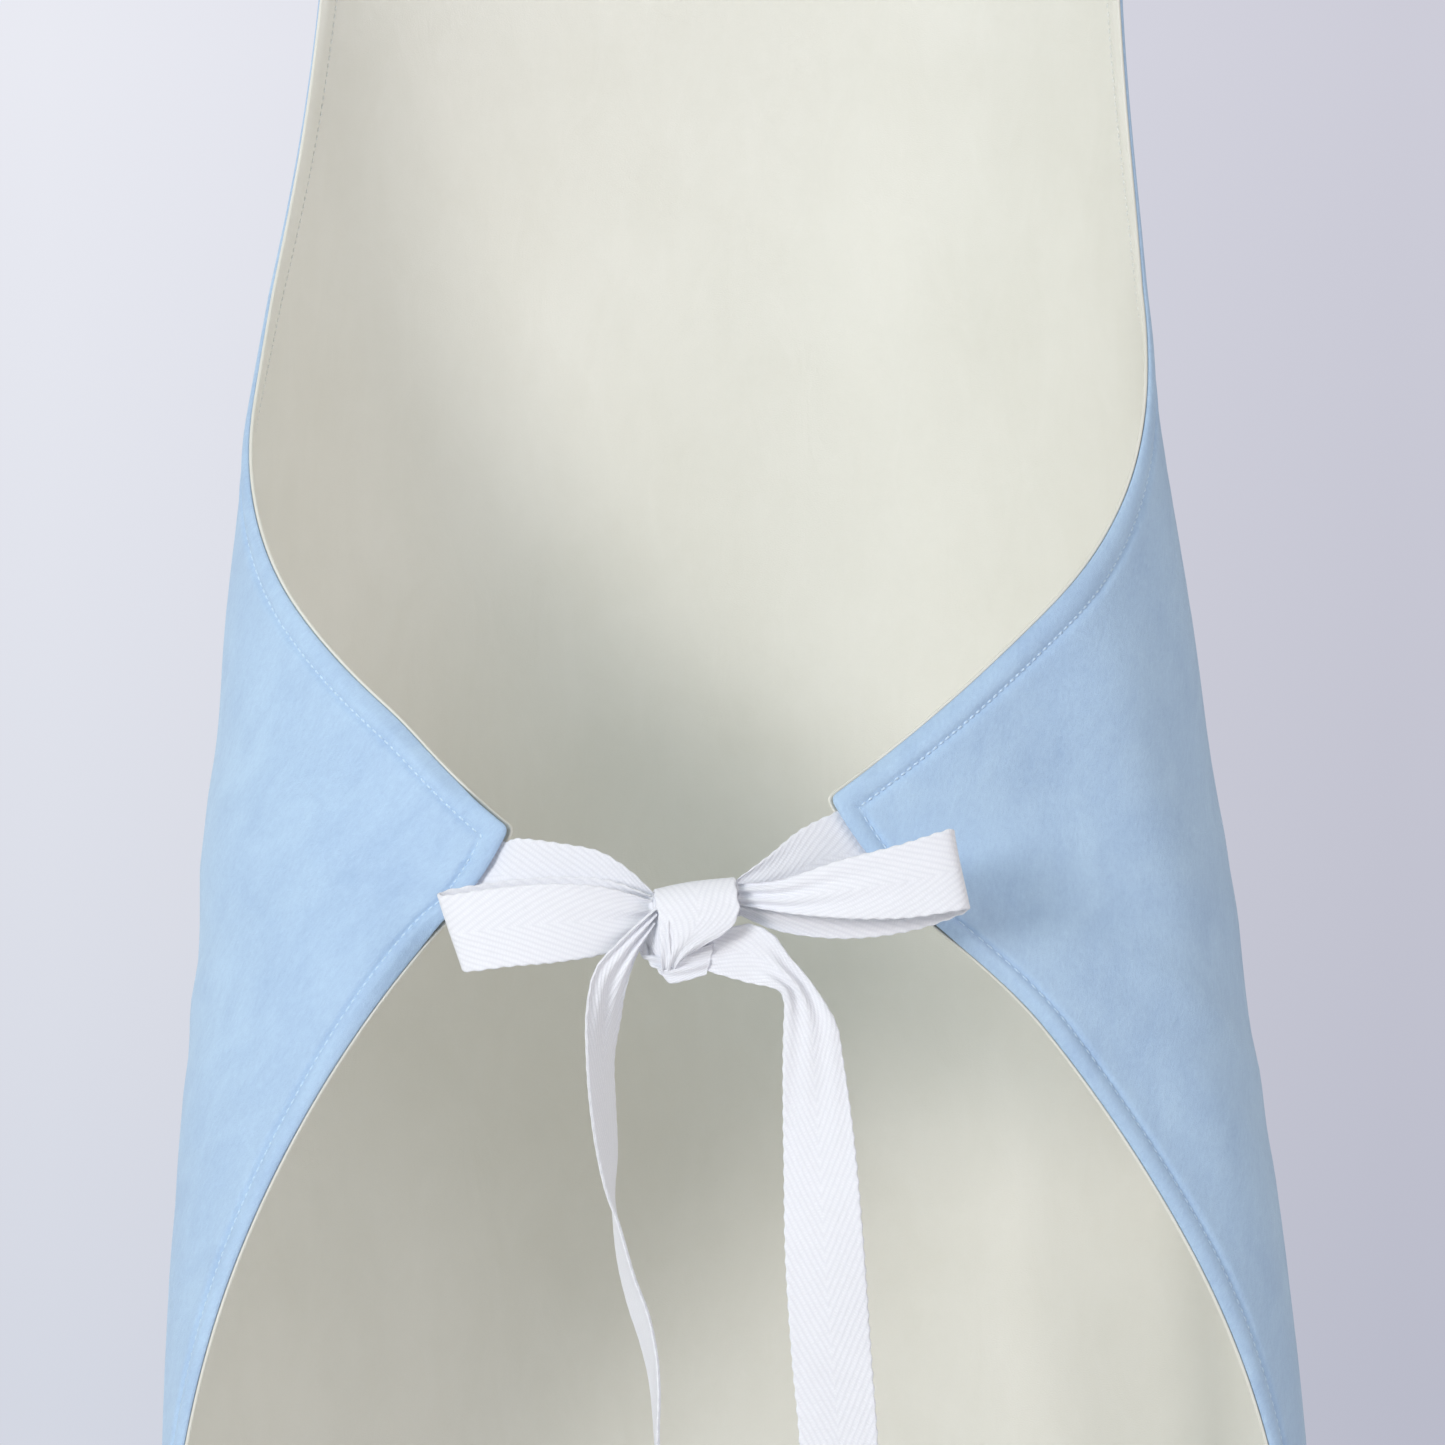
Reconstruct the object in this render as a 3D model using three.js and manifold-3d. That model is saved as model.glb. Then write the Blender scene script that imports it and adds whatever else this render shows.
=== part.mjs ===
// A sleeveless, open-backed patient gown of the apron kind, as it hangs on its wearer.
// It has a velour face and a waterproof backing stitched together round the edge, waist ears
// with twill tapes tied in a bow at the back, and neck tapes that close with a press stud.
// Millimetres. +Z is up, +X is the wearer's left and -Y the wearer's front.
// The origin is at the nape, on the inner side of the neck tape.
import * as THREE from 'three';
import * as BufferGeometryUtils from 'three/addons/utils/BufferGeometryUtils.js';
import Module from 'manifold-3d';

// ---- Driving dimensions -------------------------------------------------------------------

// Layers
const BACKING_THICKNESS = 0.6;
const FACE_THICKNESS = 1.6;
const LAYER_GAP = 0.3;
const TAPE_WIDTH = 25;
const TAPE_THICKNESS = 1.0;

// Heights below the nape
const BIB_TOP = -140;
const NECK_SCOOP = 35;
const NECK_SCOOP_REACH = 190;
const GARMENT_LENGTH = 900;

// The cut, as distances round the body from the centre front
const BIB_HALF_WIDTH = 150;
const EAR_HALF_SPAN = 397;
const EAR_DROP = 332;
const EAR_END_MARGIN = 4.5;
const EAR_END_SLANT = 10;
const SKIRT_HALF_WIDTH = 272;
const HEM_CORNER_RADIUS = 60;

// The wearer's body, which the cloth wraps: height below the nape, half width, depth in front of
// the body's axis and depth behind it
const BODY_STATIONS = [
  [120, 150, 98, 80],
  [250, 150, 132, 80],
  [330, 150, 130, 86],
  [440, 164, 124, 98],
  [540, 176, 122, 108],
  [640, 186, 126, 108],
  [760, 193, 132, 104],
  [1060, 202, 142, 98],
];
const BODY_EASE = 1.0; // share of the body's girth that the cloth stands at
const BODY_AXIS_Y = -60;
const BODY_ROUNDNESS = 0.92;
const CLOTH_TURN = -12.5; // how far the cloth has slipped round the body
const LEAN_START = 300;
const LEAN_END = 800;
const LEAN_TOP = 4.5;
const LEAN_SLOPE = -0.0285;

// Topstitching
const STITCH_INSET = 7;
const THREAD_RADIUS = 0.35;
const THREAD_LIFT = 0.75;
const STITCH_ROWS = 1 / 3; // rows of the cloth between the thread's points

// Press stud
const CAP_RADIUS = 6;
const CAP_THICKNESS = 1.2;
const POST_RADIUS = 1.2;
const STUD_RADIUS = 4.6;
const STUD_BASE = 0.8;
const KNOB_RADIUS = 1.9;
const KNOB_HEIGHT = 1.3;
const SOCKET_RADIUS = 5;
const SNAP_CLEARANCE = 0.3;
const SOCKET_WALL = 0.6;
const POST_CATCH = 0.6;

// Neck tapes, along the nape
const NAPE_FLAT = 66;
const STUD_X = -34;
const SPARE_STUD_SPACING = 20;
const FLAP_HINGE_X = -12;
const FLAP_LENGTH = 34;
const FLAP_GAP = 0.3;
const INNER_END_X = 50;
const TAPE_INSERT = 15; // length of a tape's end that is sewn in between the layers
const POCKET_BEND = 80; // radius of the tightest bend of the layers over a tape's end

// Bow: where the knot lies, and how far it stands off the body
const KNOT_X = 5.5;
const KNOT_Z = -508;
const KNOT_STANDOFF = 12.5;

// How finely the cloth is divided
const CLOTH_COLUMNS = 34;
const ARMHOLE_ROWS = 9;
const SKIRT_ROWS = 9;
const BODY_STEPS = 240;

// ---- Derived sizes ------------------------------------------------------------------------

const HEM_Z = BIB_TOP - GARMENT_LENGTH;
const EAR_TOP_Z = BIB_TOP - EAR_DROP;
const EAR_END_HEIGHT = TAPE_WIDTH + 2 * EAR_END_MARGIN;
const EAR_LOW_Z = EAR_TOP_Z - Math.sqrt(EAR_END_HEIGHT ** 2 - EAR_END_SLANT ** 2);
const EAR_LOW_SPAN = EAR_HALF_SPAN - EAR_END_SLANT;
const FACE_INNER = BACKING_THICKNESS + LAYER_GAP;
// Room for a tape between the layers, which it crosses flat where they bend
const POCKET_EXTRA = TAPE_THICKNESS + 2 * LAYER_GAP + TAPE_WIDTH ** 2 / (8 * POCKET_BEND);

// ---- Small tools --------------------------------------------------------------------------

const wasm = await Module();
wasm.setup();

const v3 = (x, y, z) => new THREE.Vector3(x, y, z);
const lerp = THREE.MathUtils.lerp;
const smoothstep = THREE.MathUtils.smoothstep;

function toSolid(geometry) {
  const bare = geometry.clone();
  bare.deleteAttribute('normal');
  bare.deleteAttribute('uv');
  const merged = BufferGeometryUtils.mergeVertices(bare, 1e-5);
  const vertProperties = new Float32Array(merged.attributes.position.array);
  const triVerts = new Uint32Array(merged.index.array);
  return new wasm.Manifold(new wasm.Mesh({ numProp: 3, vertProperties, triVerts }));
}

function fromSolid(solid) {
  const mesh = solid.getMesh();
  return indexed(mesh.vertProperties, mesh.triVerts);
}

function indexed(positions, triangles) {
  const geometry = new THREE.BufferGeometry();
  geometry.setAttribute('position', new THREE.Float32BufferAttribute(positions, 3));
  geometry.setIndex([...triangles]);
  geometry.computeVertexNormals();
  return geometry;
}

// A closed body made of matching rings of points, with a flat fan of triangles at each end.
// Its two sides are split along matching diagonals, so that a thin twisted tape stays open inside.
function loft(rings) {
  const count = rings[0].length;
  const positions = rings.flat().flatMap((p) => [p.x, p.y, p.z]);
  const triangles = [];
  for (let i = 0; i + 1 < rings.length; i += 1) {
    for (let j = 0; j < count; j += 1) {
      const k = (j + 1) % count;
      const [a, b, c, d] = [i * count + j, i * count + k, (i + 1) * count + k, (i + 1) * count + j];
      if (2 * j < count) triangles.push(a, b, c, a, c, d);
      else triangles.push(a, b, d, b, c, d);
    }
  }
  const last = (rings.length - 1) * count;
  for (let j = 1; j + 1 < count; j += 1) {
    triangles.push(0, j + 1, j, last, last + j, last + j + 1);
  }
  return indexed(positions, triangles);
}

// ---- The body's surface -------------------------------------------------------------------

// One column of the stations at a height, on a smooth curve through them.
function bodySize(z, column) {
  const first = BODY_STATIONS[0][0];
  const last = BODY_STATIONS.at(-1)[0];
  const depth = THREE.MathUtils.clamp(-z, first, last);
  let i = 0;
  while (i < BODY_STATIONS.length - 2 && depth > BODY_STATIONS[i + 1][0]) i += 1;
  const slope = (k) => {
    const before = BODY_STATIONS[Math.max(k - 1, 0)];
    const after = BODY_STATIONS[Math.min(k + 1, BODY_STATIONS.length - 1)];
    return (after[column] - before[column]) / (after[0] - before[0]);
  };
  const [low, high] = [BODY_STATIONS[i], BODY_STATIONS[i + 1]];
  const h = high[0] - low[0];
  const t = (depth - low[0]) / h;
  const [t2, t3] = [t * t, t * t * t];
  const size = (2 * t3 - 3 * t2 + 1) * low[column] + (t3 - 2 * t2 + t) * h * slope(i)
    + (3 * t2 - 2 * t3) * high[column] + (t3 - t2) * h * slope(i + 1);
  return size * BODY_EASE;
}

const sections = new Map();

// Half of the body's outline at a height, from the centre front round to the centre back.
function section(z) {
  const key = z.toFixed(4);
  if (!sections.has(key)) {
    const [width, front, back] = [1, 2, 3].map((column) => bodySize(z, column));
    const points = [];
    let length = 0;
    for (let i = 0; i <= BODY_STEPS; i += 1) {
      const angle = (Math.PI * i) / BODY_STEPS;
      const [c, s] = [Math.cos(angle), Math.sin(angle)];
      const depth = c > 0 ? front : back;
      const x = width * Math.abs(s) ** BODY_ROUNDNESS;
      const y = BODY_AXIS_Y - depth * Math.sign(c) * Math.abs(c) ** BODY_ROUNDNESS;
      if (i > 0) length += Math.hypot(x - points[i - 1].x, y - points[i - 1].y);
      points.push({ x, y, length });
    }
    sections.set(key, points);
  }
  return sections.get(key);
}

// The sideways lean of the body at a height.
const lean = (z) => LEAN_TOP + LEAN_SLOPE * (THREE.MathUtils.clamp(-z, LEAN_START, LEAN_END) - LEAN_START);

// The point a distance s round the body from the centre front of the cloth.
function bodyPoint(s, z) {
  const turned = s + CLOTH_TURN;
  const side = Math.sign(turned) || 1;
  const outline = section(z);
  const distance = Math.min(Math.abs(turned), outline.at(-1).length);
  let i = 1;
  while (i < outline.length - 1 && outline[i].length < distance) i += 1;
  const [a, b] = [outline[i - 1], outline[i]];
  const t = (distance - a.length) / (b.length - a.length);
  return v3(side * lerp(a.x, b.x, t) + lean(z), lerp(a.y, b.y, t), z);
}

// A point lifted off the body along the cloth's outward normal.
function clothPoint(s, z, lift) {
  const across = bodyPoint(s + 4, z).sub(bodyPoint(s - 4, z));
  const down = bodyPoint(s, z - 4).sub(bodyPoint(s, z + 4));
  const normal = down.cross(across).normalize();
  return bodyPoint(s, z).addScaledVector(normal, lift);
}

// ---- The cut of the cloth -----------------------------------------------------------------

// The edge of the left half, as stretches from the centre top to the centre bottom of the side:
// each is a function of 0 to 1 that gives (distance from the centre front, height).
const v2 = (x, y) => new THREE.Vector2(x, y);
const SKIRT_START = v2(EAR_LOW_SPAN, EAR_LOW_Z);
const HEM_CORNER = v2(SKIRT_HALF_WIDTH, HEM_Z + HEM_CORNER_RADIUS);
const armhole = new THREE.CubicBezierCurve(
  v2(BIB_HALF_WIDTH, BIB_TOP),
  v2(BIB_HALF_WIDTH + 25, BIB_TOP - 0.45 * EAR_DROP),
  v2(EAR_HALF_SPAN - 162, BIB_TOP - 0.71 * EAR_DROP),
  v2(EAR_HALF_SPAN, EAR_TOP_Z),
);
const earEnd = new THREE.LineCurve(v2(EAR_HALF_SPAN, EAR_TOP_Z), SKIRT_START);
const skirtSide = new THREE.CubicBezierCurve(
  SKIRT_START,
  v2(EAR_LOW_SPAN - 62, EAR_LOW_Z - 95),
  v2(SKIRT_HALF_WIDTH, lerp(EAR_LOW_Z, HEM_CORNER.y, 0.47)),
  HEM_CORNER,
);
const hemCorner = {
  getPoint: (t) => v2(
    SKIRT_HALF_WIDTH - HEM_CORNER_RADIUS * (1 - Math.cos((t * Math.PI) / 2)),
    HEM_CORNER.y - HEM_CORNER_RADIUS * Math.sin((t * Math.PI) / 2),
  ),
};
const sideStretches = [
  [armhole, ARMHOLE_ROWS],
  [earEnd, 2],
  [skirtSide, SKIRT_ROWS],
  [hemCorner, 4],
];

// The points of the side edge, one for each row of the cloth.
const sideEdge = [armhole.getPoint(0)];
for (const [stretch, rows] of sideStretches) {
  for (let i = 1; i <= rows; i += 1) sideEdge.push(stretch.getPoint(i / rows));
}

// The height of a row at a share u of its half width: the neckline dips at the centre.
function rowHeight(rowZ, u) {
  const fade = THREE.MathUtils.clamp(1 - (BIB_TOP - rowZ) / NECK_SCOOP_REACH, 0, 1);
  return rowZ - NECK_SCOOP * fade * (1 - u * u);
}

// How far the face stands off the backing to leave room for the tape ends sewn in between.
function pocket(s, z) {
  const side = Math.abs(s);
  const ear = smoothstep(side, EAR_HALF_SPAN - 95, EAR_HALF_SPAN - 40)
    * smoothstep(z, EAR_LOW_Z - 70, EAR_LOW_Z - 12);
  const bib = smoothstep(side, BIB_HALF_WIDTH - 85, BIB_HALF_WIDTH - 40)
    * smoothstep(z, BIB_TOP - 80, BIB_TOP - 30);
  return POCKET_EXTRA * Math.max(ear, bib);
}

const faceInner = (s, z) => FACE_INNER + pocket(s, z);
const faceOuter = (s, z) => faceInner(s, z) + FACE_THICKNESS;

// A corner of the cloth's facets: its row, its column and its lift off the body.
function gridPoint(row, column, lift) {
  const u = (2 * column) / CLOTH_COLUMNS - 1;
  const [s, z] = [u * sideEdge[row].x, rowHeight(sideEdge[row].y, u)];
  return clothPoint(s, z, lift(s, z));
}

// A layer of the cloth between two lifts off the body, over the whole cut.
function clothLayer(innerLift, outerLift) {
  const columns = CLOTH_COLUMNS + 1;
  const rows = sideEdge.length;
  const positions = [];
  for (const lift of [innerLift, outerLift]) {
    for (let i = 0; i < rows; i += 1) {
      for (let j = 0; j < columns; j += 1) positions.push(...gridPoint(i, j, lift).toArray());
    }
  }
  const at = (layer, i, j) => (layer * rows + i) * columns + j;
  const triangles = [];
  const quad = (a, b, c, d) => triangles.push(a, b, c, a, c, d);
  const [bottom, right] = [rows - 1, columns - 1];
  for (let i = 0; i < bottom; i += 1) {
    for (let j = 0; j < right; j += 1) {
      quad(at(1, i, j), at(1, i + 1, j), at(1, i + 1, j + 1), at(1, i, j + 1));
      quad(at(0, i, j), at(0, i, j + 1), at(0, i + 1, j + 1), at(0, i + 1, j));
    }
    quad(at(0, i, 0), at(0, i + 1, 0), at(1, i + 1, 0), at(1, i, 0));
    quad(at(1, i, right), at(1, i + 1, right), at(0, i + 1, right), at(0, i, right));
  }
  for (let j = 0; j < right; j += 1) {
    quad(at(0, 0, j), at(1, 0, j), at(1, 0, j + 1), at(0, 0, j + 1));
    quad(at(1, bottom, j), at(0, bottom, j), at(0, bottom, j + 1), at(1, bottom, j + 1));
  }
  return indexed(positions, triangles);
}

// ---- Topstitching -------------------------------------------------------------------------

// A point on the facets of a layer, at a share u of the half width and v rows down.
function facetPoint(u, v, lift) {
  const row = Math.min(Math.floor(v), sideEdge.length - 2);
  const across = ((u + 1) * CLOTH_COLUMNS) / 2;
  const column = Math.min(Math.floor(across), CLOTH_COLUMNS - 1);
  const [down, over] = [v - row, across - column];
  const [a, b, c, d] = [[0, 0], [1, 0], [1, 1], [0, 1]].map(([i, j]) => gridPoint(row + i, column + j, lift));
  const between = down > over ? b : d;
  const weight = down > over ? [1 - down, down - over, over] : [1 - over, over - down, down];
  return a.multiplyScalar(weight[0]).addScaledVector(between, weight[1]).addScaledVector(c, weight[2]);
}

// How far in from the side edge the stitching lies v rows down, as a share of the half width.
function stitchShare(v) {
  const step = 0.25;
  const row = Math.min(Math.floor(v), sideEdge.length - 2);
  const edge = sideEdge[row].clone().lerp(sideEdge[row + 1], v - row);
  const height = edge.y;
  let s = edge.x;
  const segment = new THREE.Line3();
  const nearest = v3(0, 0, 0);
  const clear = () => sideEdge.slice(1).every((end, i) => {
    segment.set(v3(sideEdge[i].x, sideEdge[i].y, 0), v3(end.x, end.y, 0));
    segment.closestPointToPoint(v3(s, height, 0), true, nearest);
    return nearest.distanceTo(v3(s, height, 0)) >= STITCH_INSET;
  });
  while (!clear()) s -= step;
  return s / edge.x;
}

// The row, counted with its fraction, that lies at a height of the side edge.
function rowAt(z) {
  const row = sideEdge.findIndex((point) => point.y < z) - 1;
  return row + (sideEdge[row].y - z) / (sideEdge[row].y - sideEdge[row + 1].y);
}

// The line of stitching round the edge, as (share of the half width, row) pairs.
function stitchPath() {
  const top = rowAt(BIB_TOP - STITCH_INSET);
  const bottom = rowAt(HEM_Z + STITCH_INSET);
  const side = [];
  for (let v = Math.ceil(top); v <= Math.floor(bottom); v += STITCH_ROWS) side.push([stitchShare(v), v]);
  const shares = (limit) => {
    const all = Array.from({ length: CLOTH_COLUMNS + 1 }, (_, j) => (2 * j) / CLOTH_COLUMNS - 1);
    return all.filter((u) => Math.abs(u) < limit);
  };
  const neck = shares(side[0][0]).map((u) => [u, top]);
  const hem = shares(side.at(-1)[0]).map((u) => [u, bottom]).reverse();
  const otherSide = side.map(([u, row]) => [-u, row]).reverse();
  return [...neck, ...side, ...hem, ...otherSide];
}

// A three-sided thread along the stitching, closed on itself.
function threadRing(lift) {
  const path = stitchPath();
  const centre = path.map(([u, v]) => facetPoint(u, v, lift));
  const above = path.map(([u, v]) => facetPoint(u, v, (s, z) => lift(s, z) + 1));
  const positions = centre.flatMap((point, i) => {
    const along = centre[(i + 1) % centre.length].clone().sub(centre.at(i - 1)).normalize();
    const up = above[i].clone().sub(point).normalize();
    const across = along.clone().cross(up).normalize();
    return [0, 1, 2].flatMap((k) => {
      const angle = Math.PI / 2 + (k * 2 * Math.PI) / 3;
      const sideways = across.clone().multiplyScalar(THREAD_RADIUS * Math.cos(angle));
      return point.clone().add(sideways).addScaledVector(up, THREAD_RADIUS * Math.sin(angle)).toArray();
    });
  });
  const triangles = centre.flatMap((_, i) => {
    const next = (i + 1) % centre.length;
    return [0, 1, 2].flatMap((k) => {
      const m = (k + 1) % 3;
      const [a, b, c, d] = [3 * i + k, 3 * next + k, 3 * next + m, 3 * i + m];
      return [a, b, c, a, c, d];
    });
  });
  return indexed(positions, triangles);
}

// ---- Tapes --------------------------------------------------------------------------------

// A tape that follows two edge lines, given as pairs of points across it.
function ribbon(pairs, steps, thickness = TAPE_THICKNESS) {
  const edges = [0, 1].map((k) => new THREE.CatmullRomCurve3(pairs.map((pair) => pair[k]), false, 'centripetal'));
  const samples = [];
  for (let i = 0; i <= steps; i += 1) samples.push(edges.map((edge) => edge.getPoint(i / steps)));
  const middle = samples.map(([a, b]) => a.clone().add(b).multiplyScalar(0.5));
  const rings = samples.map(([a, b], i) => {
    const along = middle[Math.min(i + 1, steps)].clone().sub(middle[Math.max(i - 1, 0)]);
    const normal = along.cross(b.clone().sub(a)).normalize().multiplyScalar(thickness / 2);
    return [a.clone().sub(normal), b.clone().sub(normal), b.clone().add(normal), a.clone().add(normal)];
  });
  return loft(rings);
}

// The pairs of a tape from its middle line, its width's directions and its width.
const pairsAbout = (stations, width = TAPE_WIDTH) => stations.map(([middle, across]) => {
  const half = across.clone().normalize().multiplyScalar(width / 2);
  return [middle.clone().sub(half), middle.clone().add(half)];
});

// A point on the cloth's cut, half way between the layers of its pocket.
function pocketPoint(s, z) {
  return clothPoint(s, z, FACE_INNER + (pocket(s, z) - LAYER_GAP) / 2);
}

// The waist tape from inside an ear's end to the knot. side is +1 for the left.
function waistLead(side, stations) {
  const along = v2(-EAR_END_SLANT, EAR_LOW_Z - EAR_TOP_Z).normalize();
  const inward = v2(along.y, -along.x);
  const start = v2(EAR_HALF_SPAN, EAR_TOP_Z).addScaledVector(along, EAR_END_MARGIN);
  const earPair = (depth) => [0, TAPE_WIDTH].map((across) => {
    const p = start.clone().addScaledVector(along, across).addScaledVector(inward, depth);
    return pocketPoint(side * p.x, p.y);
  });
  return ribbon([earPair(TAPE_INSERT), earPair(TAPE_INSERT / 2), earPair(0), ...bowPairs(stations)], 18);
}

// The neck tape of one side: sewn in at the bib, over the shoulder, and flat along the nape.
function neckTape(side, endX, innerY) {
  const napeY = innerY + TAPE_THICKNESS / 2;
  const bibX = BIB_HALF_WIDTH - TAPE_WIDTH / 2 - EAR_END_MARGIN;
  const bibPair = (depth) => [-0.5, 0.5].map((k) => {
    const s = bibX + k * TAPE_WIDTH;
    return pocketPoint(side * s, rowHeight(BIB_TOP, s / BIB_HALF_WIDTH) - depth);
  });
  const shoulder = pairsAbout([
    [v3(side * 110, -124, -104), v3(side, 0.25, -0.1)],
    [v3(side * 97, -108, -60), v3(side, 0.2, -0.25)],
    [v3(side * 86, -76, -22), v3(side * 0.9, 0.05, -0.5)],
    [v3(side * 79, -36, -5), v3(side * 0.5, 0, -0.87)],
  ]);
  const nape = pairsAbout([NAPE_FLAT, NAPE_FLAT - 4, (NAPE_FLAT - 4 + side * endX) / 2, side * endX].map(
    (x) => [v3(side * x, napeY, 0), v3(0, 0, -1)],
  ));
  return ribbon([bibPair(TAPE_INSERT), bibPair(TAPE_INSERT / 2), bibPair(1), ...shoulder, ...nape], 45);
}

// ---- Bow ----------------------------------------------------------------------------------

const bowCentre = v3(KNOT_X, BODY_AXIS_Y + bodySize(KNOT_Z, 3) + KNOT_STANDOFF, KNOT_Z);

// Each station of a tape in the bow: its middle, from the knot's centre, and the way across it,
// from its upper or left edge to the other, as a share of the tape's width. A share under 1 is
// where the tape is gathered towards the knot.
const bowPairs = (stations) => stations.map(([x, y, z, ax, ay, az]) => {
  const middle = bowCentre.clone().add(v3(x, y, z));
  const half = v3(ax, ay, az).multiplyScalar(TAPE_WIDTH / 2);
  return [middle.clone().sub(half), middle.clone().add(half)];
});

const LEAD_LEFT = [
  [58.5, -16.5, 14.9, 0.18, 0.04, -0.95],
  [41.9, -12, 12.9, 0, 0, -1],
  [29.4, -8.5, 10.8, 0, 0, -0.97],
  [20.2, -6.5, 7.3, 0, 0, -0.8],
  [12.6, -5, 3.2, 0, 0, -0.56],
];
const LEAD_RIGHT = [
  [-38.8, -12, 20.3, -0.5, 0, -0.74],
  [-26.3, -8.5, 13.8, -0.25, 0, -0.66],
  [-12.7, -5, 8.6, 0, 0, -0.46],
];
const LOOP_LEFT = [
  [13.8, 2.2, 4, 0.03, 0, -0.35],
  [27.7, 6, 2.5, -0.12, 0, -0.81],
  [44.5, 8, 1.4, -0.24, 0, -0.96],
  [61.4, 7, -0.3, -0.37, 0, -0.94],
  [73.3, 3.5, -2, -0.32, 0, -0.94],
  [75.2, 1, -1.8, -0.33, 0, -0.95],
  [73.5, -1, -1, -0.32, 0, -0.96],
  [58.7, -3, 1.6, -0.12, 0, -0.98],
  [41.8, -4, 3.1, 0, 0, -0.98],
  [26.3, -3, 4.2, 0, 0, -0.8],
  [13.8, -1.2, 5.6, 0.02, 0, -0.33],
];
const LOOP_RIGHT = [
  [-13.4, 2.2, 10, -0.02, 0, -0.26],
  [-27.7, 6, 9.4, -0.12, 0, -0.42],
  [-46, 11, 11.8, -0.12, 0, -0.72],
  [-64.3, 12.5, 14.4, -0.12, 0, -0.9],
  [-80, 11.5, 17.9, -0.22, 0, -0.98],
  [-81.7, 9, 18, -0.22, 0, -0.98],
  [-80.3, 6.5, 16.7, -0.22, 0, -0.98],
  [-66, 2.5, 11, -0.15, 0, -0.96],
  [-46, -0.5, 6.8, -0.1, 0, -0.85],
  [-26, -1.5, 5.2, 0, 0, -0.54],
  [-13.5, -1.2, 7, 0, 0, -0.28],
];
const TAIL_LEFT = [
  [12.4, 6, 3.4, 0.06, 0, -0.25],
  [20.7, 9, -6.9, -0.18, -0.1, -0.25],
  [26.5, 9.5, -17.5, -0.28, -0.3, -0.37],
  [29.1, 8, -35, -0.3, -0.6, -0.1],
  [29.2, 6, -59, -0.24, -0.95, 0],
  [26.5, 5, -76.5, -0.22, -0.97, 0],
  [22, 4, -95, -0.2, -0.97, 0],
  [16.5, 3.5, -113.5, -0.16, -0.98, 0],
  [10.5, 3.5, -146, -0.08, -0.99, 0],
  [8, 3.5, -212, -0.3, -0.95, 0],
  [9, 3.5, -272, -0.6, -0.8, 0],
];
const TAIL_RIGHT = [
  [-8.1, 1.5, -6.4, -0.37, 0, 0.52],
  [-23.1, 2, -11, -0.49, 0, 0.43],
  [-31.9, 3.5, -17.1, -0.5, 0, 0.2],
  [-35.2, 3, -24, -0.64, 0, 0],
  [-36.2, 3, -41, -0.75, 0, 0],
  [-38.4, 2.5, -69, -0.89, 0.2, 0],
  [-40, 2, -100, -0.98, 0.1, 0],
  [-42.1, 1.5, -132, -0.99, 0, 0],
  [-44.4, 1, -160, -0.97, 0, 0],
  [-47, 1, -222, -0.97, 0.2, 0],
  [-47, 1.5, -290, -0.95, 0.3, 0],
];

// The knot: height from its centre, how far it reaches to the right and left, and half its depth.
const KNOT_RINGS = [
  [-17.5, -1.5, 7, 3.5],
  [-11, -4, 10.6, 6.8],
  [-4, -8, 12.4, 8.4],
  [3, -12.4, 13, 8.5],
  [10, -13, 12.8, 7.5],
  [13.8, -10, 10.5, 4.5],
];
const KNOT_SIDES = 16;
const KNOT_SQUARENESS = 0.65;

function knot() {
  const rings = KNOT_RINGS.map(([z, low, high, depth]) => {
    const ring = [];
    for (let i = 0; i < KNOT_SIDES; i += 1) {
      const angle = (2 * Math.PI * i) / KNOT_SIDES;
      const [c, s] = [Math.cos(angle), Math.sin(angle)];
      const x = (low + high) / 2 + ((high - low) / 2) * Math.sign(c) * Math.abs(c) ** KNOT_SQUARENESS;
      const y = depth * Math.sign(s) * Math.abs(s) ** KNOT_SQUARENESS;
      ring.push(bowCentre.clone().add(v3(x, y, z)));
    }
    return ring;
  });
  return loft(rings);
}

// ---- Press studs --------------------------------------------------------------------------

// Levels of the stack, outwards from the nape
const STUD_SEAT = TAPE_THICKNESS + SNAP_CLEARANCE;
const SOCKET_FACE = STUD_SEAT + STUD_BASE + SNAP_CLEARANCE;
const BORE_DEPTH = KNOB_HEIGHT;
const RECESS_DEPTH = POST_CATCH + SNAP_CLEARANCE;
const SOCKET_HEIGHT = BORE_DEPTH + SOCKET_WALL + RECESS_DEPTH;
const OUTER_TAPE_Y = SOCKET_FACE + SOCKET_HEIGHT + SNAP_CLEARANCE;
const HOLE_RADIUS = POST_RADIUS + SNAP_CLEARANCE;
const ROUND_SIDES = 14;

// A turned piece about the Y axis, given as (radius, height) points that run up from its low end.
function turned(profile) {
  return new THREE.LatheGeometry(profile.map(([r, h]) => v2(r, h)), ROUND_SIDES);
}

const capShape = () => turned([
  [0, -TAPE_THICKNESS - SNAP_CLEARANCE - POST_CATCH],
  [POST_RADIUS, -TAPE_THICKNESS - SNAP_CLEARANCE - POST_CATCH],
  [POST_RADIUS, SNAP_CLEARANCE],
  [CAP_RADIUS, SNAP_CLEARANCE],
  [CAP_RADIUS, SNAP_CLEARANCE + 0.4 * CAP_THICKNESS],
  [0.8 * CAP_RADIUS, SNAP_CLEARANCE + 0.85 * CAP_THICKNESS],
  [0.4 * CAP_RADIUS, SNAP_CLEARANCE + CAP_THICKNESS],
  [0, SNAP_CLEARANCE + CAP_THICKNESS],
]);

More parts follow.
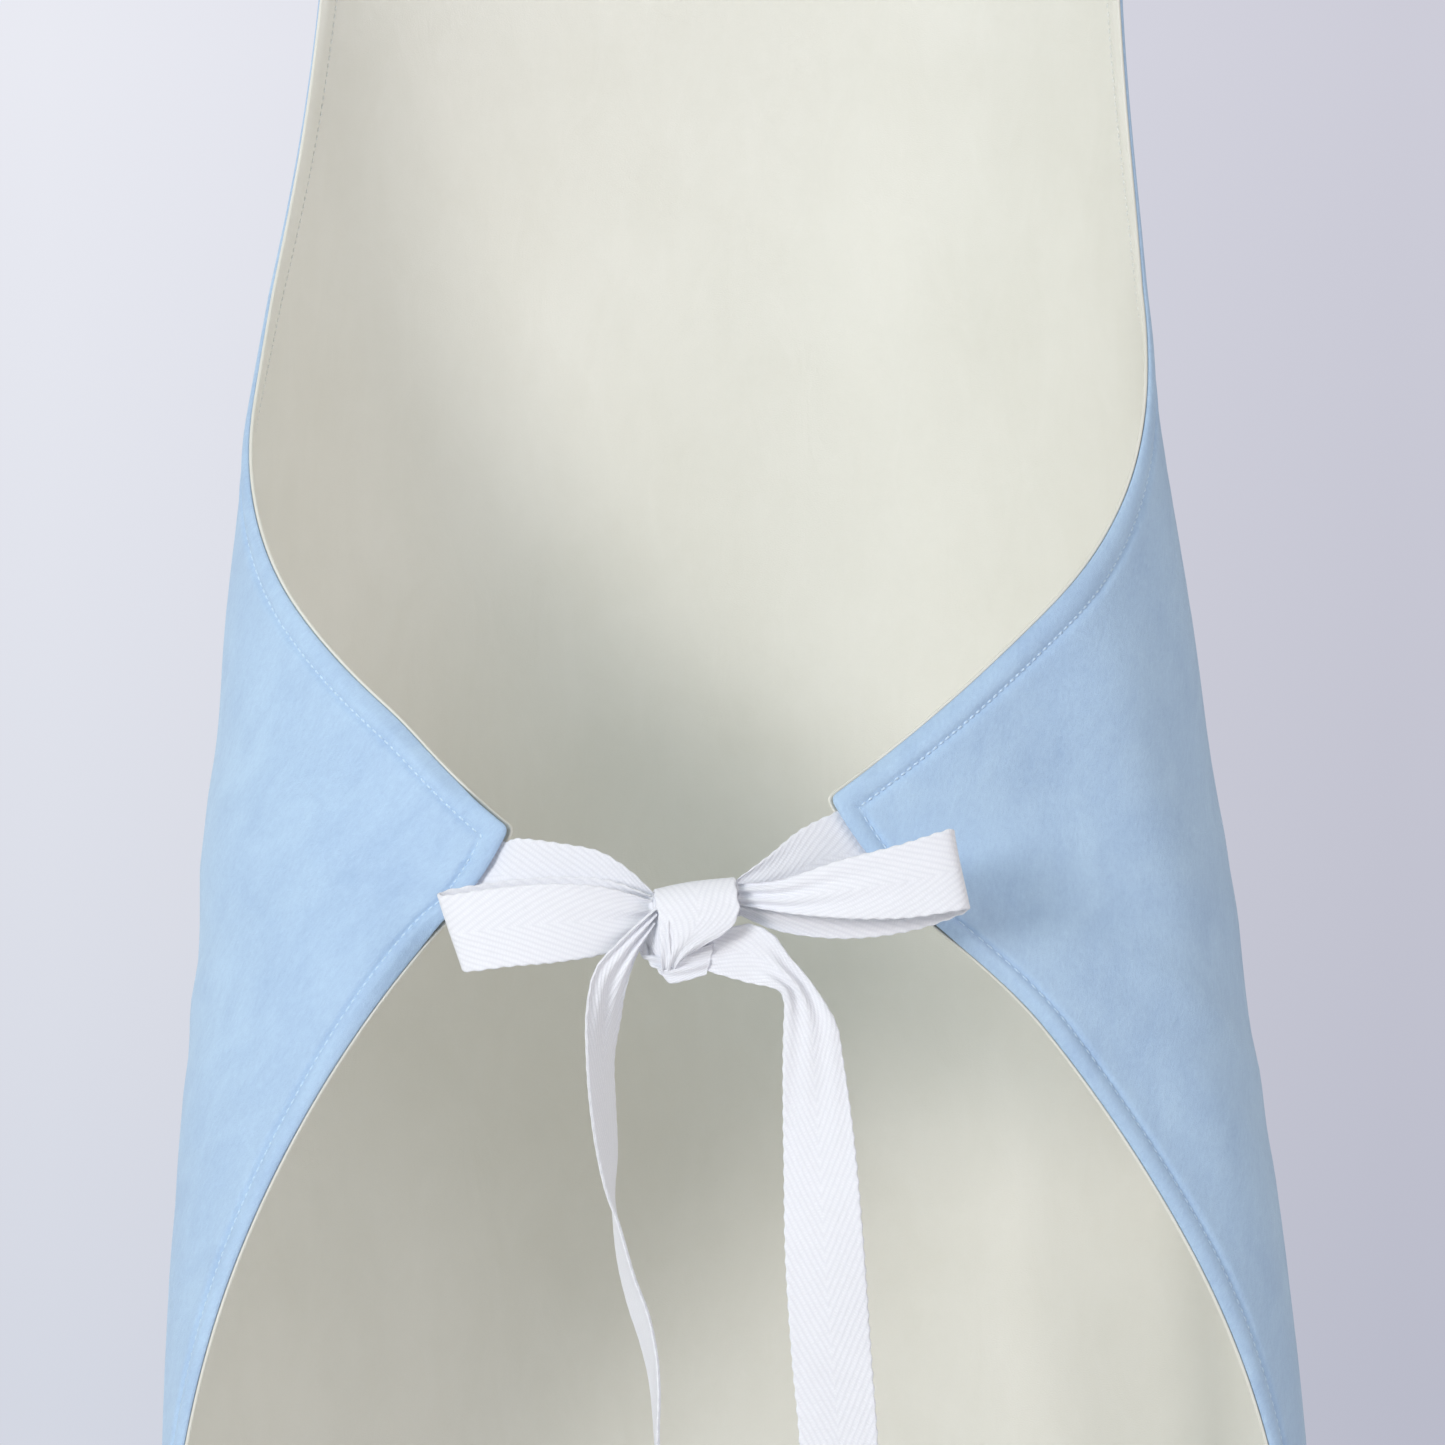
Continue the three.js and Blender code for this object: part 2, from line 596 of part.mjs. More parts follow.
const studShape = () => turned([
  [0, RECESS_DEPTH],
  [HOLE_RADIUS, RECESS_DEPTH],
  [HOLE_RADIUS, 0],
  [STUD_RADIUS, 0],
  [STUD_RADIUS, STUD_BASE],
  [KNOB_RADIUS, STUD_BASE],
  [KNOB_RADIUS, STUD_BASE + KNOB_HEIGHT],
  [0, STUD_BASE + KNOB_HEIGHT],
]);

const socketShape = () => turned([
  [0, BORE_DEPTH + SNAP_CLEARANCE],
  [KNOB_RADIUS + SNAP_CLEARANCE, BORE_DEPTH + SNAP_CLEARANCE],
  [KNOB_RADIUS + SNAP_CLEARANCE, 0],
  [SOCKET_RADIUS, 0],
  [SOCKET_RADIUS, SOCKET_HEIGHT],
  [HOLE_RADIUS, SOCKET_HEIGHT],
  [HOLE_RADIUS, SOCKET_HEIGHT - RECESS_DEPTH],
  [0, SOCKET_HEIGHT - RECESS_DEPTH],
]);

// A tape with a hole for a stud's post at each of the places along X.
function punched(tape, places) {
  const depth = 4 * (OUTER_TAPE_Y + TAPE_THICKNESS);
  const holes = places.map((x) => {
    const drill = new THREE.CylinderGeometry(HOLE_RADIUS, HOLE_RADIUS, depth, ROUND_SIDES);
    return toSolid(drill.translate(x, 0, 0));
  });
  return fromSolid(holes.reduce((solid, hole) => solid.subtract(hole), toSolid(tape)));
}

const neckFlap = () => ribbon(pairsAbout([FLAP_GAP, FLAP_LENGTH].map(
  (x) => [v3(FLAP_HINGE_X - x, OUTER_TAPE_Y + TAPE_THICKNESS / 2, 0), v3(0, 0, -1)],
)), 2);

// ---- Assembly -----------------------------------------------------------------------------

const FINISHES = {
  velour: { color: 0xb4d2f0, roughness: 0.95, metalness: 0 },
  backing: { color: 0xe9e8dc, roughness: 0.55, metalness: 0 },
  thread: { color: 0xb4d2f0, roughness: 0.7, metalness: 0 },
  tape: { color: 0xf1f2f6, roughness: 0.9, metalness: 0 },
  stud: { color: 0xeceef0, roughness: 0.35, metalness: 0 },
};

const group = new THREE.Group();
group.name = 'patient_gown';

function add(name, finish, geometry, place = v3(0, 0, 0), faceInwards = false) {
  const mesh = new THREE.Mesh(geometry, new THREE.MeshStandardMaterial(FINISHES[finish]));
  mesh.name = name;
  mesh.position.copy(place);
  if (faceInwards) mesh.rotation.x = Math.PI;
  group.add(mesh);
}

const SPARE_X = STUD_X - SPARE_STUD_SPACING;

add('face_panel', 'velour', clothLayer(faceInner, faceOuter));
add('backing_panel', 'backing', clothLayer(() => 0, () => BACKING_THICKNESS));
add('face_thread', 'thread', threadRing((s, z) => faceOuter(s, z) + THREAD_LIFT));
add('backing_thread', 'thread', threadRing(() => -THREAD_LIFT));

add('waist_lead_left', 'tape', waistLead(1, LEAD_LEFT));
add('waist_lead_right', 'tape', waistLead(-1, LEAD_RIGHT));
add('bow_knot', 'tape', knot());
add('bow_loop_left', 'tape', ribbon(bowPairs(LOOP_LEFT), 40));
add('bow_loop_right', 'tape', ribbon(bowPairs(LOOP_RIGHT), 40));
add('waist_tail_left', 'tape', ribbon(bowPairs(TAIL_LEFT), 30));
add('waist_tail_right', 'tape', ribbon(bowPairs(TAIL_RIGHT), 30));

add('neck_tape_left', 'tape', neckTape(1, FLAP_HINGE_X + FLAP_GAP, OUTER_TAPE_Y));
add('neck_tape_right', 'tape', punched(neckTape(-1, INNER_END_X, 0), [STUD_X, SPARE_X]));
add('neck_flap', 'tape', punched(neckFlap(), [STUD_X]));
add('flap_cap', 'stud', capShape(), v3(STUD_X, OUTER_TAPE_Y + TAPE_THICKNESS, 0));
add('flap_socket', 'stud', socketShape(), v3(STUD_X, SOCKET_FACE, 0));
for (const [prefix, x] of [['stud', STUD_X], ['spare', SPARE_X]]) {
  add(`${prefix}_cap`, 'stud', capShape(), v3(x, 0, 0), true);
  add(prefix === 'stud' ? 'stud' : 'spare_stud', 'stud', studShape(), v3(x, STUD_SEAT, 0));
}

export default group;
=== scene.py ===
"""A sleeveless, open-backed patient gown of the apron kind, made of cloth, tape and press studs.

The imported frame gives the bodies, the joints and the room that each piece takes. This script makes
the cloth, the tapes, the stitching and the studs that are seen, in metres and in the same frame.
"""
import logging
import math
from dataclasses import dataclass, field
from enum import Enum
from typing import Callable, Sequence

import bpy
import numpy as np
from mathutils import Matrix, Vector
from mathutils.geometry import delaunay_2d_cdt


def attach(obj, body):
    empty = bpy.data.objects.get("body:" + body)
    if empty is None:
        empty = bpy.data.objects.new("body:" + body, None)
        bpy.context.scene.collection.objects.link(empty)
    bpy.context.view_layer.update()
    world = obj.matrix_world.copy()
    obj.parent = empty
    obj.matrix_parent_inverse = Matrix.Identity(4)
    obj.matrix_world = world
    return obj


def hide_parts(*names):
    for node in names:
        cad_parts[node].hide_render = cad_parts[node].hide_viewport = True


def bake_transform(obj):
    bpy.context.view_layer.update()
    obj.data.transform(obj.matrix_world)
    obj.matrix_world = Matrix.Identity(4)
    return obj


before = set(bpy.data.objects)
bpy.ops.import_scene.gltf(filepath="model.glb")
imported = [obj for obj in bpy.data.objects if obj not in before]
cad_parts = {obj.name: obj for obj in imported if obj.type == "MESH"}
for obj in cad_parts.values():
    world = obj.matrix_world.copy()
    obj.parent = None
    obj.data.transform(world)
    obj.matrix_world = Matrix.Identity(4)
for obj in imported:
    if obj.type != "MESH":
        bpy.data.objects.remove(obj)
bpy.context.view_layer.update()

LOG = logging.getLogger("patient_gown")
MM = 0.001
FLAT_MAP = "flat"
Array = np.ndarray
Colour = tuple[float, float, float, float]


# ---- Shader building ------------------------------------------------------------------------


class Value:
    """A number that varies over a surface, with the usual operators."""

    def __init__(self, shader: "Shader", socket: bpy.types.NodeSocket) -> None:
        """Wraps one output socket."""
        self.shader = shader
        self.socket = socket

    def _math(self, operation: str, *values: "Value | float", clamp: bool = False) -> "Value":
        """Adds one Math node.

        Args:
            operation: The node's operation.
            values: Its inputs, in order.
            clamp: Whether the result is kept from 0 to 1.

        Returns:
            The node's result.
        """
        settings = {"operation": operation, "use_clamp": clamp}
        return self.shader.value("ShaderNodeMath", settings, dict(enumerate(values)))

    def __add__(self, other: "Value | float") -> "Value":
        """The sum."""
        return self._math("ADD", self, other)

    def __sub__(self, other: "Value | float") -> "Value":
        """The difference."""
        return self._math("SUBTRACT", self, other)

    def __rsub__(self, other: float) -> "Value":
        """The difference, the other way round."""
        return self._math("SUBTRACT", other, self)

    def __mul__(self, other: "Value | float") -> "Value":
        """The product."""
        return self._math("MULTIPLY", self, other)

    __radd__ = __add__
    __rmul__ = __mul__

    def sine(self) -> "Value":
        """The sine of an angle in radians."""
        return self._math("SINE", self)

    def size(self) -> "Value":
        """The absolute value."""
        return self._math("ABSOLUTE", self)

    def clamped(self) -> "Value":
        """The value kept from 0 to 1."""
        return self._math("ADD", self, 0.0, clamp=True)

    def power(self, exponent: float) -> "Value":
        """The value raised to a power."""
        return self._math("POWER", self, exponent)

    def swing(self, weight: float) -> "Value":
        """How far a cloud is from its middle, times a weight."""
        return (self - 0.5) * weight

    def half_wave(self) -> "Value":
        """A wave from 0 to 1 of an angle in radians."""
        return self.sine() * 0.5 + 0.5

    def between(self, low: float, high: float) -> "Value":
        """A smooth rise from 0 at low to 1 at high."""
        settings = {"interpolation_type": "SMOOTHSTEP"}
        inputs = {"Value": self, "From Min": low, "From Max": high}
        return self.shader.value("ShaderNodeMapRange", settings, inputs)


@dataclass(frozen=True)
class Cloud:
    """One kind of cloudy noise over a cloth.

    The scale is in clouds per metre, detail is how many finer layers it has and roughness how strong
    they are, distortion is how far it is bent, stretch scales its place along each axis, and weight
    is how far it changes the shade.
    """

    scale: float
    detail: float = 2.0
    roughness: float = 0.5
    distortion: float = 0.0
    stretch: tuple = (1.0, 1.0, 1.0)
    weight: float = 0.0


class Shader:
    """The node tree of one material, with a Principled surface."""

    def __init__(self, name: str) -> None:
        """Starts a material with that name."""
        self.material = bpy.data.materials.new(name)
        self.material.use_nodes = True
        self.tree = self.material.node_tree
        self.surface = self.tree.nodes["Principled BSDF"]

    def node(self, kind: str, settings: dict | None = None, inputs: dict | None = None) -> bpy.types.Node:
        """Adds a node.

        Args:
            kind: The node's type.
            settings: Its own settings, which are set first.
            inputs: Values or links for its sockets, by name or by number.

        Returns:
            The new node.
        """
        made = self.tree.nodes.new(kind)
        for key, value in (settings or {}).items():
            setattr(made, key, value)
        for key, value in (inputs or {}).items():
            self.connect(made.inputs[key], value)
        return made

    def connect(self, target: bpy.types.NodeSocket, value: object) -> None:
        """Links a value or a socket to an input, or sets the input to a constant."""
        if isinstance(value, Value):
            value = value.socket
        if isinstance(value, bpy.types.NodeSocket):
            self.tree.links.new(value, target)
        else:
            target.default_value = value

    def value(self, kind: str, settings: dict | None = None, inputs: dict | None = None,
              output: str | int = 0) -> Value:
        """Adds a node and gives one of its outputs as a value."""
        return Value(self, self.node(kind, settings, inputs).outputs[output])

    def cloth_place(self) -> bpy.types.NodeSocket:
        """The place on the flat cloth, in metres, from the piece's UV map."""
        return self.node("ShaderNodeUVMap", {"uv_map": FLAT_MAP}).outputs["UV"]

    def noise(self, place: bpy.types.NodeSocket, cloud: Cloud) -> Value:
        """Cloudy noise from 0 to 1, read at a place."""
        if cloud.stretch != (1.0, 1.0, 1.0):
            inputs = {0: place, 1: cloud.stretch}
            place = self.node("ShaderNodeVectorMath", {"operation": "MULTIPLY"}, inputs).outputs[0]
        inputs = {"Vector": place, "Scale": cloud.scale, "Detail": cloud.detail,
                  "Roughness": cloud.roughness, "Distortion": cloud.distortion}
        return self.value("ShaderNodeTexNoise", {"noise_dimensions": "3D"}, inputs, "Fac")

    def across_and_along(self, place: bpy.types.NodeSocket) -> tuple[Value, Value]:
        """The two parts of a place on the flat cloth."""
        split = self.node("ShaderNodeSeparateXYZ", None, {0: place})
        return Value(self, split.outputs[0]), Value(self, split.outputs[1])

    def mix(self, factor: Value | float, low: object, high: object) -> bpy.types.NodeSocket:
        """A colour between two colours."""
        made = self.node("ShaderNodeMix", {"data_type": "RGBA"}, {0: factor, 6: low, 7: high})
        return made.outputs[2]

    def bump(self, height: Value, depth: float, strength: float = 1.0,
             under: bpy.types.NodeSocket | None = None) -> bpy.types.NodeSocket:
        """A normal disturbed by a height from 0 to 1, which is depth metres deep."""
        inputs: dict = {"Height": height, "Distance": depth, "Strength": strength}
        if under is not None:
            inputs["Normal"] = under
        return self.node("ShaderNodeBump", None, inputs).outputs["Normal"]

    def finish(self, **inputs: object) -> bpy.types.Material:
        """Sets the surface's sockets, with _ for a space in their names, and gives the material."""
        for name, value in inputs.items():
            self.connect(self.surface.inputs[name.replace("_", " ")], value)
        return self.material


class Slot(Enum):
    """The record's material slots."""

    VELOUR = "velour"
    BACKING = "backing"
    THREAD = "thread"
    TAPE = "twill_tape"
    STUD = "stud_plastic"


# ---- Finishes -------------------------------------------------------------------------------


@dataclass(frozen=True)
class Velour:
    """A short-nap velour whose colour is mottled at random, with painted sheen of the brushed nap in lighter
    and darker patches and strokes.
    """

    deep: Colour = (0.375, 0.525, 0.755, 1.0)
    pale: Colour = (0.500, 0.675, 0.885, 1.0)
    nap_turn: float = 0.6
    broad_mottle: Cloud = Cloud(13.0, 3.0, 0.55, 0.8, weight=0.9)
    patches: Cloud = Cloud(62.0, 3.0, 0.55, 1.0, (1.0, 0.55, 1.0), 1.0)
    strokes: Cloud = Cloud(330.0, 3.0, 0.6, 0.4, (1.0, 0.22, 1.0), 0.5)
    flecks: Cloud = Cloud(950.0, 3.0, 0.65, 0.0, (1.0, 0.4, 1.0), 1.0)
    pile: Cloud = Cloud(2600.0, 2.0, 0.6, weight=0.8)
    middle_shade: float = 0.55
    pile_depth: float = 0.5 * MM
    pile_strength: float = 0.6
    brushed_depth: float = 0.7 * MM
    brushed_strength: float = 0.35
    patch_share: float = 0.6
    roughness: float = 0.94
    roughness_swing: float = 0.1

    def material(self) -> bpy.types.Material:
        """The velour's material."""
        shader = Shader("velour")
        place = shader.cloth_place()
        turned = shader.node("ShaderNodeVectorRotate", {"rotation_type": "Z_AXIS"},
                             {"Vector": place, "Angle": self.nap_turn}).outputs[0]
        broad_mottle, pile = shader.noise(place, self.broad_mottle), shader.noise(place, self.pile)
        # Painted sheen: the patches and strokes along the turned nap lighten and darken the colour, between
        # a shadowed blue and a lit blue.
        patches = shader.noise(turned, self.patches)
        strokes = shader.noise(turned, self.strokes)
        flecks = shader.noise(turned, self.flecks)
        # The shade mixes random mottling with the painted sheen of the nap's patches and strokes.
        shade = broad_mottle.swing(self.broad_mottle.weight) + patches.swing(self.patches.weight)
        shade = shade + strokes.swing(self.strokes.weight) + flecks.swing(self.flecks.weight)
        shade = shade + pile.swing(self.pile.weight) + self.middle_shade
        colour = shader.mix(shade.clamped(), self.deep, self.pale)
        normal = shader.bump((pile + flecks) * 0.5, self.pile_depth, self.pile_strength)
        brushed = patches * self.patch_share + strokes * (1 - self.patch_share)
        normal = shader.bump(brushed, self.brushed_depth, self.brushed_strength, normal)
        return shader.finish(
            Base_Color=colour, Normal=normal, Roughness=self.roughness - flecks.swing(self.roughness_swing),
            Specular_IOR_Level=0.12, Sheen_Weight=0.28, Sheen_Roughness=0.5,
            Sheen_Tint=(0.86, 0.93, 1.0, 1.0),
        )


@dataclass(frozen=True)
class BackingFilm:
    """A smooth cream film laminated to a fine knit."""

    shade: Colour = (0.735, 0.730, 0.665, 1.0)
    light: Colour = (0.835, 0.832, 0.785, 1.0)
    clouds: Cloud = Cloud(14.0, 3.0, 0.5, 0.4, weight=0.9)
    creases: Cloud = Cloud(60.0, 4.0, 0.6, 1.2, (1.0, 0.4, 1.0), 0.5)
    knit: Cloud = Cloud(1500.0, 2.0, 0.5, 0.0, (1.0, 1.6, 1.0), 0.3)
    crease_depth: float = 0.6 * MM
    crease_strength: float = 0.35
    knit_depth: float = 0.15 * MM
    knit_strength: float = 0.45
    roughness: float = 0.5
    roughness_swing: float = 0.2

    def material(self) -> bpy.types.Material:
        """The backing's material."""
        shader = Shader("backing_film")
        place = shader.cloth_place()
        clouds = shader.noise(place, self.clouds)
        creases = shader.noise(place, self.creases)
        knit = shader.noise(place, self.knit)
        shade = clouds.swing(self.clouds.weight) + creases.swing(self.creases.weight)
        shade = shade + knit.swing(self.knit.weight) + 0.5
        colour = shader.mix(shade.clamped(), self.shade, self.light)
        normal = shader.bump(creases, self.crease_depth, self.crease_strength)
        normal = shader.bump(knit, self.knit_depth, self.knit_strength, normal)
        return shader.finish(
            Base_Color=colour, Normal=normal, Roughness=self.roughness + creases.swing(self.roughness_swing),
            Specular_IOR_Level=0.35, Sheen_Weight=0.1, Sheen_Roughness=0.5,
        )


@dataclass(frozen=True)
class TwillTape:
    """White herringbone cotton tape: steep ribs that meet along the middle, with painted shade in the
    hollows of the weave and painted light on its crowns.
    """

    width: float = 25 * MM
    rib_pitch: float = 4.2 * MM
    rib_slope: float = 2.05
    rib_wander: float = 0.22
    rib_roundness: float = 0.55
    yarn: float = 0.9 * MM
    yarn_tilt: float = 0.9
    yarn_wander: float = 5.0
    # Painted shade and light: the darker colour is for the weave's hollows, the paler one for its crowns.
    painted_hollow_shade: Colour = (0.745, 0.760, 0.832, 1.0)
    painted_crown_light: Colour = (0.872, 0.888, 0.948, 1.0)
    wander: Cloud = Cloud(240.0)
    fibres: Cloud = Cloud(3600.0, 3.0, 0.65, 0.0, (1.0, 0.5, 1.0), 0.40)
    tone_blotches: Cloud = Cloud(55.0, 3.0, 0.5, weight=0.2)
    rib_shade: float = 0.30
    yarn_shade: float = 0.24
    base_shade: float = 0.18
    rib_rise: float = 0.45
    yarn_rise: float = 0.35
    fibre_rise: float = 0.20
    relief: float = 0.4 * MM
    relief_strength: float = 0.42
    roughness: float = 0.9
    fibre_gloss: float = 0.1

    def material(self) -> bpy.types.Material:
        """The tape's material, on a map whose u is across the tape and v along it."""
        shader = Shader("twill_tape")
        place = shader.cloth_place()
        across, along = shader.across_and_along(place)
        wander = shader.noise(place, self.wander)
        from_spine = (across - self.width / 2).size()
        rise = along + from_spine * self.rib_slope + wander.swing(self.rib_wander * self.rib_pitch)
        rib = (rise * (2 * math.pi / self.rib_pitch)).half_wave().power(self.rib_roundness)
        cross = (along * self.yarn_tilt - from_spine * (1 / self.rib_slope)) * (2 * math.pi / self.yarn)
        grain = (cross + wander * self.yarn_wander).half_wave()
        fibres = shader.noise(place, self.fibres)
        height = rib * self.rib_rise + rib * grain * self.yarn_rise + fibres * self.fibre_rise
        # Soft blotches, lighter and darker at random.
        tone_blotches = shader.noise(place, self.tone_blotches).swing(self.tone_blotches.weight)
        # Painted shade: the shade follows the weave's height, so ribs, yarns and fibres are darker where
        # they sink and paler where they rise.
        shade = rib * self.rib_shade + grain * rib * self.yarn_shade
        shade = shade + fibres * self.fibres.weight + tone_blotches + self.base_shade
        return shader.finish(
            Base_Color=shader.mix(shade.clamped(), self.painted_hollow_shade, self.painted_crown_light),
            Normal=shader.bump(height, self.relief, self.relief_strength),
            Roughness=self.roughness - fibres * self.fibre_gloss,
            Specular_IOR_Level=0.2, Sheen_Weight=0.1, Sheen_Roughness=0.4,
        )


@dataclass(frozen=True)
class SewingThread:
    """Two-ply polyester thread, with its twist."""

    name: str
    shade: Colour
    light: Colour
    twists: float = 5200.0
    turn: float = 6.28
    twist_share: float = 0.6
    fluff: Cloud = Cloud(900.0, 2.0, 0.6)
    relief: float = 0.08 * MM
    relief_strength: float = 0.8
    roughness: float = 0.62
    twist_gloss: float = 0.1

    def material(self) -> bpy.types.Material:
        """The thread's material, on a map whose v runs along the thread."""
        shader = Shader(self.name)
        place = shader.cloth_place()
        around, along = shader.across_and_along(place)
        twist = (along * self.twists + around * self.turn).half_wave()
        mixed = twist * self.twist_share + shader.noise(place, self.fluff) * (1 - self.twist_share)
        return shader.finish(
            Base_Color=shader.mix(mixed.clamped(), self.shade, self.light),
            Normal=shader.bump(twist, self.relief, self.relief_strength),
            Roughness=self.roughness - twist * self.twist_gloss, Specular_IOR_Level=0.4, Sheen_Weight=0.2,
        )


@dataclass(frozen=True)
class StudResin:
    """White moulded acetal with faint scuffs."""

    shade: Colour = (0.78, 0.79, 0.80, 1.0)
    light: Colour = (0.86, 0.87, 0.88, 1.0)
    cloud: Cloud = Cloud(220.0)
    cloud_range: tuple = (0.3, 0.7)
    scuffs: Cloud = Cloud(900.0, 3.0, 0.7, 0.0, (1.0, 1.0, 9.0))
    scuff_depth: float = 0.03 * MM
    scuff_strength: float = 0.5
    roughness: float = 0.28
    scuff_roughness: float = 0.16

    def material(self) -> bpy.types.Material:
        """The stud's material."""
        shader = Shader("stud_resin")
        place = shader.node("ShaderNodeTexCoord").outputs["Object"]
        scuffs = shader.noise(place, self.scuffs)
        share = shader.noise(place, self.cloud).between(*self.cloud_range)
        return shader.finish(
            Base_Color=shader.mix(share, self.shade, self.light),
            Normal=shader.bump(scuffs, self.scuff_depth, self.scuff_strength),
            Roughness=self.roughness + scuffs * self.scuff_roughness, Specular_IOR_Level=0.5,
        )


FACE_THREAD = SewingThread("face_thread", (0.52, 0.70, 0.90, 1.0), (0.68, 0.83, 0.97, 1.0))
BACK_THREAD = SewingThread("back_thread", (0.70, 0.71, 0.69, 1.0), (0.84, 0.85, 0.82, 1.0))


@dataclass
class Finishes:
    """Every finish of the gown, made once."""

    velour: bpy.types.Material = field(default_factory=Velour().material)
    backing: bpy.types.Material = field(default_factory=BackingFilm().material)
    tape: bpy.types.Material = field(default_factory=TwillTape().material)
    face_thread: bpy.types.Material = field(default_factory=FACE_THREAD.material)
    back_thread: bpy.types.Material = field(default_factory=BACK_THREAD.material)
    resin: bpy.types.Material = field(default_factory=StudResin().material)


# ---- Mesh making ----------------------------------------------------------------------------


@dataclass
class Piece:
    """A mesh in the making: its points, faces and flat map."""

    name: str
    points: Array
    faces: list
    flat: Array | None = None

    def make(self, material: bpy.types.Material, slot: Slot, body: str | None,
             *nodes: str) -> bpy.types.Object:
        """Makes the object, smooth, dressed and riding on its body.

        Args:
            material: What it is dressed in.
            slot: The record's slot for that finish; not used.
            body: The body that it rides on, or None for a piece that is left on no body.
            nodes: The frame's nodes that it stands for.

        Returns:
            The new object.
        """
        mesh = bpy.data.meshes.new(self.name)
        mesh.from_pydata(self.points.tolist(), [], self.faces)
        mesh.polygons.foreach_set("use_smooth", [True] * len(mesh.polygons))
        if self.flat is not None:
            layer = mesh.uv_layers.new(name=FLAT_MAP)
            corners = np.empty(len(mesh.loops), np.int64)
            mesh.loops.foreach_get("vertex_index", corners)
            layer.data.foreach_set("uv", self.flat[corners].astype(np.float32).ravel())
        mesh.materials.append(material)
        mesh.update()
        made = bpy.data.objects.new(self.name, mesh)
        bpy.context.scene.collection.objects.link(made)
        if body:
            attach(made, body)
        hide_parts(*nodes)
        LOG.info("%s: %d points on %s", self.name, len(self.points), body or "two bodies")
        return made


def tube_faces(rows: int, columns: int, flip: bool = False) -> list:
    """The quads of a tube.

    Args:
        rows: How many rings it has.
        columns: How many points each ring has.
        flip: Whether the faces are turned over.

    Returns:
        The faces, as lists of point numbers, counted ring by ring.
    """
    i = np.arange(rows - 1)[:, None]
    j = np.arange(columns)[None, :]
    over = (j + 1) % columns
    corners = [i * columns + j, i * columns + over, (i + 1) * columns + over, (i + 1) * columns + j]
    quads = np.stack(np.broadcast_arrays(*corners), axis=-1).reshape(-1, 4)
    return (quads[:, ::-1] if flip else quads).tolist()


def smooth(values: Array | float, low: float, high: float) -> Array:
    """A smooth rise from 0 at low to 1 at high."""
    t = np.clip((values - low) / (high - low), 0, 1)
    return t * t * (3 - 2 * t)


def closed_tube(rows: int, columns: int) -> list:
    """The faces of a row of rings, with a face over each end."""
    count = rows * columns
    ends = [tuple(range(columns))[::-1], tuple(range(count - columns, count))]
    return tube_faces(rows, columns) + ends


def ramp(values: Array, edge: float, short: Sequence[float]) -> Array:
    """A smooth rise from 0 to 1, which starts and ends at two distances short of an edge."""
    return smooth(values, edge - short[0], edge - short[1])


def bell(values: Array, middle: float, reach: float) -> Array:
    """A smooth bump of height 1."""
    return np.exp(-((values - middle) / reach) ** 2)


def unit(vectors: Array) -> Array:
    """Vectors scaled to a length of 1."""
    return vectors / np.maximum(np.linalg.norm(vectors, axis=-1, keepdims=True), 1e-12)


def inside_line(points: Array, line: Array) -> Array:
    """Whether each flat point is inside a closed line."""
    inside = np.zeros(len(points), bool)
    x, y = points.T
    for (x1, y1), (x2, y2) in zip(line, np.roll(line, -1, axis=0)):
        if y1 != y2:
            crosses = ((y1 > y) != (y2 > y)) & (x < (x2 - x1) * (y - y1) / (y2 - y1) + x1)
            inside ^= crosses
    return inside


# ---- The wearer's shape and the cut ---------------------------------------------------------


